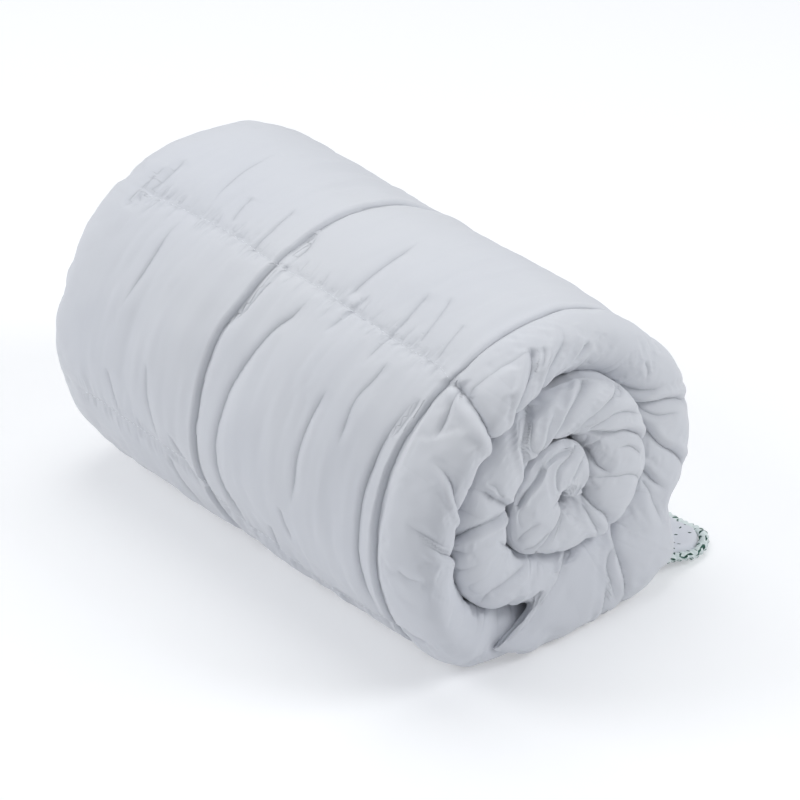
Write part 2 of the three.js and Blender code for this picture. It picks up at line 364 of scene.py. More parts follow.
def makeBlock(angles, faceColumns, detail):
    # one row of points around the quilt's section at every angle
    a = angles[:, None]
    near = np.linspace(0, 180, detail["near"] + 1)[1:]
    far = np.linspace(180, 0, detail["far"] + 1)[:-1]
    nearPart = foldPoint(a, near, "near")
    farPart = foldPoint(a, far, "far")
    outer, inner = radii(a)
    share = np.linspace(0, 1, faceColumns)
    nearEnd = foldPoint(a, 0, "near")[..., 0]
    farEnd = foldPoint(a, 0, "far")[..., 0]
    facePart = wound(a, outer, farEnd + (nearEnd - farEnd) * share)
    share = np.linspace(0, 1, detail["inner"] + 2)[1:-1]
    innerPart = wound(a, inner, nearPart[:, -1:, 0] + (farPart[:, :1, 0] - nearPart[:, -1:, 0]) * share)
    base = np.concatenate([facePart, nearPart, innerPart, farPart], 1)
    base[..., 2] = np.maximum(base[..., 2], 0)
    size = base.shape[:2]
    counts = [faceColumns, len(near), len(share), len(far)]
    part = np.repeat([outerFace, nearFold, innerFace, farFold], counts)
    phi = np.concatenate([np.zeros(faceColumns), near, share * 0, far])
    return {
        "angle": np.broadcast_to(a, size),
        "part": np.broadcast_to(part, size),
        "phi": np.broadcast_to(phi, size),
        "across": np.concatenate([np.linspace(0, 1, faceColumns), 1 + near / 180, 2 + share, 4 - far / 180]),
        "rest": base,
        "restNormal": gridNormals(base),
        "wobble": layers(base, (0.9, 26, 5), (0.35, 9, 6)),
        "base": base,
        "normal": gridNormals(base),
        "hold": np.zeros(size),
        "lift": np.zeros(size),
        "pressed": np.zeros(size),
        "foldSide": np.full(size, 9.0),
        "foldBumpAndShade": np.zeros(size),
    }


# Creases. Each is a path with its depth and width in millimetres. Beyond is the width on its other
# side, sharp how steep its sides are, lip how far the cloth stands up beside it, taper the shares of
# its length over which its two ends fade, and crisp how strongly its bottom is marked by the material,
# with a bump and with painted shade.

def crease(depth, *path, wide=2.5, beyond=None, sharp=1.0, lip=0.0, taper=(0.15, 0.25), crisp=1.0):
    return {"depth": depth, "path": path, "wide": wide, "beyond": beyond or wide, "sharp": sharp,
            "lip": lip, "taper": taper, "crisp": crisp}


openEnds = (0.02, 0.02)    # a crease that runs from one gap to the next
fadesOut = (0.45, 0.02)    # a crease that starts in the open cloth and ends in a gap
bothFade = (0.35, 0.35)
noFade = (0, 0)

# on the near end, as (angle, phi)
endCreases = [
    crease(2.2, (58, 4), (53, 14), (54, 38)),
    crease(1.4, (84, 20), (82, 34), (82, 54), wide=3.7),
    crease(2.5, (100, 24), (98, 52), (95, 84), (92, 120), beyond=5.6, taper=(0.4, 0.4)),
    crease(5, (97, 40), (94, 66), (90, 100), (86, 140), (84, 175), beyond=7.4, taper=fadesOut),
    crease(5.8, (121, 26), (119, 50), (114, 78), (107, 115), (101, 165), beyond=7.4, taper=fadesOut),
    crease(9.4, (146, -4), (144, 20), (142, 40), (140, 62), (138, 90), (137, 130), (137, 175), wide=4.3,
           taper=openEnds),
    crease(3.6, (148, 2), (142, 12), (134, 18), (126, 20)),
    crease(1.4, (145, 22), (158, 29), (170, 36), wide=4, beyond=6.2, taper=(0.05, 0.1)),
    crease(7.9, (171, 32), (168, 50), (164, 68), (158, 84), (152, 105), (148, 150), wide=3.1, beyond=5,
           taper=(0.08, 0.1)),
    crease(2.9, (175, 40), (173, 58), (167, 78), taper=(0.2, 0.4)),
    crease(4.3, (186, 34), (182, 54), (176, 76), (170, 104), (166, 150), wide=3.1, beyond=6.8,
           taper=(0.35, 0.1)),
    crease(6.5, (195, 68), (192, 86), (186, 106), (175, 122), (168, 150), beyond=6.2, taper=(0.12, 0.1)),
    crease(2.2, (231, 84), (238, 92), (240, 104), taper=(0.3, 0.3)),
    crease(4.3, (238, 165), (243, 132), (247, 100), (249, 78), beyond=5, taper=(0.05, 0.5)),
    crease(7.9, (265, 14), (262, 40), (257, 76), (253, 112), (250, 165), wide=3.1, beyond=5.6,
           taper=(0.25, 0.02)),
    crease(3.6, (251, 150), (258, 116), (262, 84), (264, 62), taper=(0.05, 0.5)),
    crease(7.2, (287, 22), (283, 48), (277, 84), (270, 116), (262, 145), (257, 172), wide=3.1, beyond=5.6,
           taper=(0.25, 0.02)),
    crease(5, (291, 80), (287, 108), (282, 140), (279, 172), beyond=5, taper=fadesOut),
    crease(2.9, (286, 140), (291, 112), (297, 90), (304, 76), wide=3.7, beyond=6.2, taper=(0.1, 0.5)),
    crease(7.2, (303, 172), (312, 146), (318, 118), (325, 84), (331, 52), (335, 24), wide=3.1, beyond=5,
           taper=openEnds),
    crease(3.6, (316, 128), (325, 110), (331, 88), (333, 66), taper=(0.3, 0.3)),
    crease(3.6, (332, 96), (338, 70), (341, 40), (343, 16), beyond=5, taper=(0.35, 0.05)),
    crease(5.8, (341, 174), (348, 140), (357, 112), (366, 92), (370, 70), (374, 50), wide=3.1, beyond=6.2,
           taper=(0.02, 0.1)),
    crease(5, (376, 84), (381, 62), (386, 44), (391, 22), beyond=5.6, taper=(0.2, 0.02)),
    crease(3.6, (369, 60), (375, 44), (381, 28), (387, 12), taper=(0.25, 0.05)),
    crease(2.9, (362, 50), (367, 38), (373, 22), taper=(0.3, 0.05)),
    crease(2.9, (350, 46), (355, 34), (361, 18), taper=(0.3, 0.05)),
    # on the second turn
    crease(2.9, (410, 12), (416, 60), (412, 100), (400, 150), wide=4.3, beyond=8.7, taper=(0.3, 0.2)),
    crease(3.6, (449, 92), (441, 112), (430, 146), (424, 170), taper=fadesOut),
    crease(7.9, (450, 2), (454, 28), (457, 60), (459, 100), (460, 140), (461, 176), beyond=5,
           taper=openEnds),
    crease(5.8, (461, 168), (466, 130), (471, 90), (475, 50), (474, 20), beyond=5.6, taper=(0.02, 0.3)),
    crease(2.9, (480, 40), (479, 70), (474, 92), taper=(0.3, 0.1)),
    crease(7.2, (520, 6), (514, 34), (507, 66), (500, 104), (494, 150), wide=3.1, beyond=5.6,
           taper=openEnds),
    crease(3.6, (518, 30), (513, 58), (508, 88), (504, 120), taper=(0.2, 0.3)),
    crease(6.5, (557, 4), (551, 34), (545, 64), (536, 92), (524, 126), (516, 168), wide=3.1, beyond=5.6,
           taper=openEnds),
    crease(2.9, (533, 44), (527, 72), (518, 104), (510, 150), beyond=5, taper=fadesOut),
    crease(5.8, (581, 4), (576, 44), (566, 82), (553, 112), (541, 165), beyond=5.6, taper=openEnds),
    crease(4.3, (606, 30), (592, 60), (575, 92), (558, 130), beyond=5, taper=(0.3, 0.1)),
    crease(7.2, (628, 4), (616, 44), (601, 80), (580, 112), (560, 142), (548, 174), beyond=6.2,
           taper=openEnds),
    crease(3.6, (626, 60), (612, 84), (600, 106), taper=(0.2, 0.4)),
    crease(5, (590, 174), (603, 150), (614, 132), (626, 104), beyond=5, taper=(0.02, 0.4)),
    crease(2.9, (646, 20), (638, 60), (630, 100), (622, 150), wide=3.1, beyond=5.6, taper=(0.2, 0.2)),
    crease(7.9, (640, 176), (649, 146), (660, 112), (668, 74), (674, 36), (678, 4), wide=3.1, beyond=5.6,
           taper=openEnds),
    crease(3.6, (659, 150), (671, 118), (680, 80), (684, 40), taper=(0.2, 0.3)),
    crease(3.6, (702, 172), (722, 142), (738, 108), (744, 70), beyond=5, taper=(0.05, 0.4)),
    # on the core
    crease(5.8, (822, 20), (834, 36), (848, 52), (862, 52), (872, 36), wide=2.2, taper=(0.05, 0.2)),
    crease(4.3, (730, 170), (750, 122), (756, 86), (760, 40), taper=openEnds),
    crease(2.9, (786, 20), (792, 50), (795, 90), taper=(0.1, 0.3)),
    crease(2.9, (774, 20), (768, 60), (764, 100), taper=(0.1, 0.3)),
    crease(4.3, (921, 24), (907, 70), (880, 92), (862, 130), taper=(0.05, 0.1)),
    crease(3.6, (917, 44), (895, 50), (868, 50), taper=(0.1, 0.2)),
    crease(2.9, (944, 20), (936, 60), (930, 120), taper=(0.1, 0.2)),
    crease(2.9, (502, 52), (506, 96), (511, 140), taper=(0.2, 0.2)),
]

# along the outer face, as (angle, x)
middleChannel = [
    (330, -30), (290, -32), (250, -28), (218, -27), (205, -32), (184, -31), (167, -30), (151, -31),
    (140, -31), (131, -32), (124, -35), (116, -37), (95, -37), (80, -39), (66, -40), (50, -36), (20, -30),
    (-36, -30),
]
nearRing = [
    (330, 212), (290, 206), (250, 210), (216, 214), (182, 213), (160, 213), (147, 212), (135, 209),
    (123, 206), (110, 205), (95, 206), (78, 206), (60, 202), (46, 198), (20, 200), (-36, 205),
]
secondRing = [
    (138, 196), (125, 190), (113, 186), (96, 185), (80, 184), (64, 184), (50, 186),
]
topSeam = [
    (146, 208), (148, 187), (148, 147), (149, 83), (150.5, 19), (150, -41), (151, -125), (149, -201),
    (148, -216),
]
lowSeam = [
    (52, 214), (50, 155), (47, 100), (50, 47), (54, 35), (55, -9), (63, -40), (68, -62), (72, -101),
    (73, -181), (73, -216),
]
backSeams = [
    [(234, 216), (232, 100), (233, 0), (231, -120), (232, -216)],
    [(309, 216), (308, 90), (307, -20), (309, -130), (308, -216)],
]

faceCreases = [
    crease(4, (171, -29), (164, -25), (159, -21), (151, -20), (144, -20), (137, -24), (128, -29),
           (122, -31), wide=3, beyond=6, taper=(0.2, 0.2)),
    crease(4.5, (149, 31), (138, 27), (131, 19), (122, 11), (114, 3), (107, -1), (96, -5), (86, -8),
           (76, -8), (68, -5), (59, 0), (50, 6), wide=3.5, beyond=9, taper=(0.15, 0.15)),
    crease(2.6, (149, -149), (141, -152), (132, -150), (121, -151), (109, -156), wide=3, beyond=8,
           taper=(0.4, 0.35)),
    crease(3, (167, -205), (156, -203), (150, -205), (146, -208), (143, -212), (138, -217), beyond=6),
    crease(2.5, (160, -212), (149, -215), (138, -217), beyond=4),
    crease(2.4, (192, -155), (178, -151), (166, -145), (152, -137), wide=7, beyond=10, sharp=1.5,
           taper=(0.4, 0.4)),
    crease(1.8, (167, -112), (160, -109), (153, -105), beyond=6),
    crease(2.2, (172, -66), (160, -62), (153, -61), (144, -60), beyond=6),
    crease(3.4, (188, 52), (178, 57), (166, 60), (151, 60), wide=4, beyond=14, sharp=1.3,
           taper=(0.3, 0.15)),
    crease(2.2, (158, 77), (150, 75), (143, 71), (137, 68), beyond=6),
    crease(2.8, (170, 121), (158, 126), (149, 127), (140, 127), (134, 127), wide=2.6, beyond=8),
    crease(2.6, (141, 148), (133, 147), (126, 143), (116, 145), (109, 146), wide=2.6, beyond=8),
    crease(3.0, (124, 111), (113, 107), (103, 105), (92, 103), (82, 101), wide=3, beyond=8),
    crease(2.0, (136, 199), (128, 197), (120, 193), wide=2.6, beyond=5),
    crease(2.2, (80, 82), (72, 85), (66, 87), wide=3, beyond=6),
    crease(2.6, (68, 56), (58, 48), (48, 38), wide=3, beyond=7),
    crease(2.0, (90, -160), (82, -155), (74, -150), wide=3, beyond=6),
    crease(2.0, (100, -105), (88, -102), (78, -96), (72, -92), wide=3, beyond=6),
    crease(2.4, (80, -75), (72, -66), (66, -58), (60, -46), wide=3, beyond=6),
    crease(2.6, (70, -84), (60, -86), (50, -80), (42, -70), wide=3, beyond=5),
    crease(2.0, (172, 140), (164, 150), (155, 155), (147, 158), wide=3, beyond=5),
    crease(1.8, (165, 178), (155, 182), (147, 184), wide=3, beyond=4),
]

channels = [
    crease(5.6, *middleChannel, wide=1.8, beyond=6, taper=noFade, lip=0.15, crisp=1.2),
    crease(4.6, *nearRing, wide=2.2, beyond=5, taper=noFade, lip=0.25, crisp=1.8),
    crease(3.8, *secondRing, wide=2.4, beyond=5, taper=(0.3, 0.3), crisp=1.6),
    crease(2.4, *topSeam, wide=6, taper=(0.06, 0.02), crisp=0.3),
    crease(3.0, *lowSeam, wide=6, taper=noFade, crisp=0.3),
]
channels += [crease(4.0, *seam, wide=8, taper=noFade, crisp=0.3) for seam in backSeams]


backCreaseSizes = {
    "count": 26,
    "angle": (215, 300),
    "x": (-205, 195),
    "length": (12, 38),    # in degrees
    "lean": (-8, 8),
    "bow": (-4, 4),
    "depth": (1.2, 3.2),
    "wide": (2.4, 4),
    "beyond": (5, 11),
    "seed": 12,
}
farCreaseSizes = {
    "angle": (-20, 985),
    "gap": 46,             # from one to the next along the cloth
    "gapShare": (0.45, 1.5),
    "leastRadius": 18,
    "lean": (-9, 9),
    "start": (40, 75),     # in degrees over the round end
    "end": (95, 150),
    "depth": (3, 9),
    "wide": (4.5, 8),
    "seed": 8,
}


def seededCreases(s):
    # long soft wrinkles round the roll, for the sides that follow no view
    draw = np.random.default_rng(s["seed"])
    made = []
    for _ in range(s["count"]):
        angle = draw.uniform(*s["angle"])
        x = draw.uniform(*s["x"])
        length = draw.uniform(*s["length"])
        lean = draw.uniform(*s["lean"])
        bow = draw.uniform(*s["bow"])
        shares = (0, 0.25, 0.5, 0.75, 1)
        path = [(angle + length * t, x + lean * t + bow * math.sin(math.pi * t)) for t in shares]
        made.append(crease(draw.uniform(*s["depth"]), *path, wide=draw.uniform(*s["wide"]),
                           beyond=draw.uniform(*s["beyond"]), taper=bothFade))
    return made


def seededFoldCreases(s):
    # radial pleats at uneven distances along the wound edge
    draw = np.random.default_rng(s["seed"])
    made = []
    angle, last = s["angle"]
    while angle < last:
        outer, inner = radii(angle)
        radius = max(float(outer + inner) / 2, s["leastRadius"])
        lean = math.degrees(draw.uniform(*s["lean"]) / radius)
        start = draw.uniform(*s["start"])
        end = draw.uniform(*s["end"])
        path = [(angle + lean * t, start + (end - start) * t) for t in (0, 0.33, 0.66, 1)]
        made.append(crease(draw.uniform(*s["depth"]), *path, wide=draw.uniform(*s["wide"]),
                           taper=(0.3, 0.25)))
        angle += math.degrees(s["gap"] * draw.uniform(*s["gapShare"]) / radius)
    return made


def thicken(path, each=5):
    # more points along a path of (angle, second value) pairs
    path = np.array(path, float)
    key = np.arange(len(path))
    fine = np.linspace(0, len(path) - 1, (len(path) - 1) * each + 1)
    rows = {"angle": key.astype(float), "first": path[:, 0], "second": path[:, 1]}
    return follow(fine, rows, "first"), follow(fine, rows, "second")


gatherSizes = {
    "length": (2.5, 5),    # in degrees, and drawn longer by the next line
    "stretch": (1, 2.2),
    "lean": (-4, 4),
    "depth": (0.4, 1.6),
    "wide": (1.3, 2.2),
    "beyond": (2.5, 5),
    "crisp": (0.3, 0.9),
    "step": (4, 17),
    "fromSeam": 0.4,
    "crossing": (-32, 11), # the middle channel's place, and how near to it none is made
    "seed": 90,
}


def seamGathers(seam, seed):
    # short creases that run out from a sewn line along the roll, on both its sides
    g = gatherSizes
    draw = np.random.default_rng(seed)
    a, x = thicken(seam)
    order = np.argsort(x)
    made = []
    place = x.min() + 5
    while place < x.max() - 16:
        angle = np.interp(place, x[order], a[order])
        if abs(place - g["crossing"][0]) < g["crossing"][1]:
            place += 2 * g["crossing"][1]
            continue
        for way in (-1, 1):
            length = draw.uniform(*g["length"]) * draw.uniform(*g["stretch"])
            lean = draw.uniform(*g["lean"])
            path = [(angle + way * (g["fromSeam"] + length * t), place + lean * t) for t in (0, 0.5, 1)]
            made.append(crease(draw.uniform(*g["depth"]), *path, wide=draw.uniform(*g["wide"]),
                               beyond=draw.uniform(*g["beyond"]), taper=(0.08, 0.6), lip=0.3,
                               crisp=draw.uniform(*g["crisp"])))
        place += draw.uniform(*g["step"])
    return made


farCreases = seededFoldCreases(farCreaseSizes)
backCreases = seededCreases(backCreaseSizes)
sewnSeams = [topSeam, lowSeam] + backSeams

carveSizes = {
    "margin": 26,          # how many degrees before and after a crease it is felt
    "blunt": 0.5,          # rounds its very bottom
    "held": 2.6,           # how near to its bottom the cloth is held while it swells
    "lipAt": 2.2,          # where its lip stands, and how broad that is, in widths of the crease
    "lipSpread": 1.4,
    "least": 0.02,         # below this strength nothing is drawn
    "line": (0.35, 9),     # how strongly a shallow one is marked with a bump and painted shade, and how slowly that grows with its depth
    "lineFades": (3, 6),
}


def carve(block, row, path, parts, columns):
    # presses one crease along its path, a list of points, and keeps each point's distance from its bottom
    c = carveSizes
    angles = block["angle"][:, 0]
    low = row["angles"].min() - c["margin"]
    high = row["angles"].max() + c["margin"]
    rows = np.nonzero((angles > low) & (angles < high))[0]
    if len(rows) == 0:
        return
    chosen = np.nonzero(np.isin(block["part"][0], parts) & columns)[0]
    rows = np.ix_(np.arange(rows[0], rows[-1] + 1), chosen)
    base = block["rest"][rows]
    normal = block["restNormal"][rows]
    nearest = np.full(base.shape[:2], 1e9)
    signed = np.zeros(base.shape[:2])
    along = np.zeros(base.shape[:2])
    steps = np.linalg.norm(np.diff(path, axis=0), axis=1)
    total = steps.sum()
    done = 0.0
    for start, end, step in zip(path[:-1], path[1:], steps):
        t = np.clip(((base - start) @ (end - start)) / step ** 2, 0, 1)
        offset = base - (start + t[..., None] * (end - start))
        distance = np.linalg.norm(offset, axis=-1)
        side = np.sign((np.cross(end - start, normal) * offset).sum(-1))
        closer = distance < nearest
        nearest = np.where(closer, distance, nearest)
        signed = np.where(closer, side * distance, signed)
        along = np.where(closer, (done + t * step) / total, along)
        done += step
    signed = signed + block["wobble"][rows]
    away = np.abs(signed)
    depth = row["depth"]
    wide = row["wide"]
    width = np.where(signed > 0, wide, row["beyond"])
    start, end = row["taper"]
    strength = 1.0
    if start > 0:
        strength = strength * smooth(along, 0, start)
    if end > 0:
        strength = strength * (1 - smooth(along, 1 - end, 1))
    strength = np.maximum(strength, 0.0)
    press = np.exp(-((np.sqrt(signed ** 2 + c["blunt"]) / width) ** row["sharp"]))
    block["hold"][rows] = np.maximum(block["hold"][rows], strength * (away < c["held"]))
    block["pressed"][rows] = np.maximum(block["pressed"][rows], depth * strength * press)
    if row["lip"]:
        lip = bell(signed, wide * c["lipAt"], wide * c["lipSpread"])
        block["lift"][rows] += depth * row["lip"] * strength * lip
    # the nearest crease's side and strength are kept for the material, which draws a bump and painted shade
    # at its bottom
    closest = (away < np.abs(block["foldSide"][rows])) & (strength > c["least"])
    least, slowness = c["line"]
    line = strength * min(1.0, least + depth / slowness) * (1 - smooth(away, *c["lineFades"])) * row["crisp"]
    block["foldSide"][rows] = np.where(closest, signed, block["foldSide"][rows])
    block["foldBumpAndShade"][rows] = np.where(closest, line, block["foldBumpAndShade"][rows])


def press(block, creases, kind, endLip=0.2, reach=60):
    x = block["rest"][..., 0]
    fold = {"near": nearFold, "far": farFold}
    ends = {"near": (x > 150).any(0), "far": (x < -150).any(0)}
    for row in creases:
        a, b = thicken(row["path"])
        row = dict(row, angles=a)
        if kind == "face":
            columns = (np.abs(x - (b.min() + b.max()) / 2) < np.ptp(b) / 2 + reach).any(0)
            carve(block, row, facePoint(a, b), (outerFace, nearFold, farFold), columns)
            continue
        if kind == "near":
            row["lip"] = row["lip"] or endLip
        carve(block, row, foldPoint(a, b, kind), (outerFace, fold[kind]), ends[kind])


def settle(block):
    # moves the points by what was carved so far
    block["base"] = block["base"] + block["normal"] * (block["lift"] - block["pressed"])[..., None]
    block["base"][..., 2] = np.maximum(block["base"][..., 2], 0.4)
    block["normal"] = gridNormals(block["base"])
    block["lift"] = np.zeros_like(block["lift"])
    block["pressed"] = np.zeros_like(block["lift"])


puckerSizes = {
    "heights": (2.1, 1.3, 1.8, 1.6),  # one for each sewn seam
    "reach": 15,           # how far they run out from it
    "radius": 150,         # turns degrees into about millimetres
    "stretch": 0.11,       # makes them long and narrow
    "flatAt": (1.8, 0.8),  # how near to the seam they flatten, and by what share
    "seed": 50,
}


def seamPuckers(block, seam, height, seed):
    # soft unevenness square to a sewn line along the roll
    s = puckerSizes
    reach = s["reach"]
    a, x = thicken(seam)
    order = np.argsort(x)
    place = block["base"][..., 0]
    arc = np.radians(block["angle"] - np.interp(place, x[order], a[order])) * s["radius"]
    allowed = (block["part"] != innerFace) & (np.abs(arc) < 4 * reach)
    points = np.stack([place, arc * s["stretch"], np.full_like(arc, seed * 7.0)], -1)
    gathers = layers(points, (1, 5.2, seed), (0.6, 3.1, seed + 1))
    gathers += layers(points * np.array([1, 0.5, 1]), (0.8, 11, seed + 2))
    patches = 0.55 + 0.45 * lumps(points, 38, seed + 3)
    near, less = s["flatAt"]
    fade = np.exp(-((np.abs(arc) / reach) ** 1.2)) * (1 - less * bell(arc, 0, near))
    block["lift"] += np.where(allowed, gathers * patches * fade * height, 0)


boxEdges = {
    "x": np.array([-268, -32, 209, 268]),
    "angle": np.array([-12, 60, 149, 232, 308, 417, 541, 665, 890]),
}


def boxShare(values, edges):
    # from 0 to 1 across each box
    i = np.clip(np.searchsorted(edges, values) - 1, 0, len(edges) - 2)
    return (values - edges[i]) / (edges[i + 1] - edges[i])


def boxCrowns(block):
    # every quilted box stands out between its channels
    across = boxShare(block["base"][..., 0], boxEdges["x"])
    along = np.clip(boxShare(block["angle"], boxEdges["angle"]), 0, 1)
    power = rollSizes["crownSquareness"]
    crown = (1 - np.abs(2 * across - 1) ** power) * (1 - np.abs(2 * along - 1) ** power)
    block["lift"] += np.where(block["part"] == outerFace, rollSizes["boxCrown"] * (crown - 0.5), 0)


rippleSizes = {
    "radius": 130,         # turns degrees into about millimetres
    "stretch": 0.22,       # makes the fine ones longer round the roll than across it
    "fine": [(0.9, 17, 31), (0.45, 8, 32)],  # the height, the size and the seed of each layer
    "soft": [(2.2, 70, 33), (1.2, 30, 34)],
    "ends": [(0.7, 13, 35)],
}


def ripples(block):
    # fine unevenness on the outer face, soft lumps everywhere outside and more on the two ends
    s = rippleSizes
    part = block["part"]
    base = block["base"]
    arc = np.radians(block["angle"]) * s["radius"]
    x = base[..., 0]
    points = np.stack([x, arc * s["stretch"], np.zeros_like(x)], -1)
    block["lift"] += np.where(part == outerFace, layers(points, *s["fine"]), 0)
    block["lift"] += np.where(part == innerFace, 0, layers(base, *s["soft"]))
    block["lift"] += np.where(np.isin(part, (nearFold, farFold)), layers(base, *s["ends"]), 0)


pullSizes = {
    "depth": 1.7,
    "sharpness": 5,
    "halfLine": 9,         # turns the lumps into millimetres beside the crease's bottom
    # how strongly their bottoms are marked with a bump and painted shade in the material
    "lineBumpAndShade": 0.5,
    "least": 0.15,
    "size": 13,            # about how far apart they run
    "stretch": 0.22,       # makes them long over the round end
    "sway": (2.5, 30),     # how far they wander aside, and over what length
    "farShift": 50.0,      # gives the far end others than the near end
}


def pulls(block):
    # fine creases that run in from the gaps between the turns, over each end
    s = pullSizes
    angle = block["angle"][:, 0]
    outer, inner = radii(angle)
    arc = np.cumsum(np.radians(np.gradient(angle)) * (outer + inner) / 2)[:, None]
    phi = block["phi"]
    isEnd = np.isin(block["part"], (nearFold, farFold))
    apart = np.where(block["part"] == farFold, s["farShift"], 0.0)
    place = np.stack([arc + 0 * phi, phi * s["stretch"], apart + arc * 0], -1)
    sway, length = s["sway"]
    line = lumps(place + sway * lumps(place, length, 44)[..., None], s["size"], 41)
    covered = smooth(block["angle"], 300, 330) * (1 - smooth(phi, 20, 75))
    inside = smooth(phi, 95, 150)
    fade = np.maximum(covered, inside) * (1 - s["least"]) + s["least"]
    patches = np.clip(0.5 + 1.1 * lumps(place * np.array([1, 0.6, 1]), 31, 42), 0, 1)
    strength = np.where(isEnd, fade * patches, 0)
    depth = s["depth"] * strength * (1 - np.abs(line)) ** s["sharpness"]
    block["pressed"] = np.maximum(block["pressed"], depth)
    # the side and strength of the bump and painted shade that the material draws along their bottoms
    block["pullSide"] = line * s["halfLine"]
    block["pullBumpAndShade"] = strength * s["lineBumpAndShade"]


def shapeBroad(block):
    # boxes, channels and deep creases, as they are held by their stitches and by the winding
    boxCrowns(block)
    press(block, channels, "face")
    press(block, endCreases, "near")
    press(block, farCreases, "far")
    settle(block)


def shapeFine(block):
    ripples(block)
    pulls(block)
    press(block, faceCreases + backCreases, "face")
    for number, seam in enumerate(sewnSeams):
        press(block, seamGathers(seam, gatherSizes["seed"] + number), "face")
    for number, seam in enumerate(sewnSeams):
        seamPuckers(block, seam, puckerSizes["heights"][number], puckerSizes["seed"] + 5 * number)
    settle(block)


# Winding and swelling

def zipFaces(upper, lower):
    # joins a row of many points to a row of few, by triangles
    faces = []
    i = j = 0
    while i < len(upper) - 1 or j < len(lower) - 1:
        upperShare = (i + 1) / (len(upper) - 1)
        lowerShare = (j + 1) / (len(lower) - 1)
        if j == len(lower) - 1 or (i < len(upper) - 1 and upperShare <= lowerShare):
            faces.append((upper[i], lower[j], upper[i + 1]))
            i += 1
        else:
            faces.append((upper[i], lower[j], lower[j + 1]))
            j += 1
    return faces


def joinBlocks(blocks, many, few):
    # both blocks, the strip between them and a cap on each wound edge
    points = np.concatenate([block["base"].reshape(-1, 3) for block in blocks])
    (rows, columns), (laterRows, laterColumns) = [block["base"].shape[:2] for block in blocks]
    offset = rows * columns
    faces = ringFaces(rows, columns) + ringFaces(laterRows, laterColumns, offset)
    last = (rows - 1) * columns
    faces += zipFaces([last + c for c in range(many)], [offset + c for c in range(few)])
    for c in range(columns - many + 1):
        upper = last + many - 1 + c
        nextUpper = last + (many + c) % columns
        lower = offset + few - 1 + c
        nextLower = offset + (few + c) % laterColumns
        faces.append((upper, lower, nextLower, nextUpper))
    lastRow = offset + (laterRows - 1) * laterColumns
    for first, count, order in ((0, columns, 1), (lastRow, laterColumns, -1)):
        ring = [first + c for c in range(count)]
        middle = len(points)
        points = np.concatenate([points, points[ring].mean(0)[None]])
        for pair in zip(ring, ring[1:] + ring[:1]):
            faces.append((middle,) + pair[::order])
    return points, faces


def clothLengths(blocks, angles):
    # where each point lies on the cloth, laid out flat
    arcs = np.cumsum(np.concatenate([[0], np.radians(np.diff(angles)) * rollSizes["clothRadius"]]))
    lengths = []
    first = 0
    for block in blocks:
        steps = np.diff(block["base"], axis=1, prepend=block["base"][:, :1])
        around = np.cumsum(np.linalg.norm(steps, axis=-1), 1)
        row = np.broadcast_to(arcs[first:first + len(around), None], around.shape)
        lengths.append(np.stack([row, around], -1).reshape(-1, 2))
        first += len(around)
    return np.concatenate(lengths + [np.zeros((2, 2))])


def spreadMove(move, block):
    # carries the movement of the coarse cloth over to the finer one
    byRow = hermite(block["angle"][:, 0], move["angle"], move["shift"])
    wrapped = np.concatenate([byRow, byRow[:, :1]], 1).swapaxes(0, 1)
    across = np.append(move["across"], 4.0)
    return hermite(block["across"], across, wrapped).swapaxes(0, 1)


def windRoll(detail, moves=(None, None), finished=True):
    s = rollSizes
    angles = rowAngles(s["start"], s["end"], detail["row"])
    split = int(np.searchsorted(angles, s["coverEnd"]))
    many = int(2 * s["nearRim"] / detail["face"])
    few = 6
    blocks = [makeBlock(angles[:split], many, detail), makeBlock(angles[split:], few, detail)]
    for block, move in zip(blocks, moves):
        shapeBroad(block)
        if move is not None:
            block["base"] = block["base"] + spreadMove(move, block)
            block["normal"] = gridNormals(block["base"])
        if finished:
            shapeFine(block)
    points, faces = joinBlocks(blocks, many, few)
    return {"points": points, "faces": faces, "uvs": clothLengths(blocks, angles), "blocks": blocks}


swellSizes = {
    "detail": {"row": 4.2, "face": 4.4, "near": 30, "far": 22, "inner": 6},
    "growth": 0.008,       # how much wider the cloth is than the shape that it covers
    "frames": 20,
    "most": 4.0,
    "faceShare": 0.25,     # how much of the movement the outer face takes
    "cloth": {
        "quality": 5,
        "mass": 0.25,
        "tension_stiffness": 12,
        "compression_stiffness": 8,
        "shear_stiffness": 5,
        "bending_stiffness": 0.15,
        "air_damping": 2,
        "use_pressure": True,
        "uniform_pressure_force": 4.0,
    },
}
fineDetail = {"row": 1.7, "face": 2.1, "near": 88, "far": 34, "inner": 6}


def heldShares(blocks):
    # which points the winding, the floor and the stitches hold in place
    shares = []
    for block, isCover in zip(blocks, (True, False)):
        part = block["part"]
        shut = (part == innerFace) | (block["base"][..., 2] < 2)
        shut |= (part == outerFace) & ((not isCover) | (block["angle"] > 318))
        shares.append(np.maximum(block["hold"], shut).ravel())
    return np.concatenate(shares + [[1, 1]])


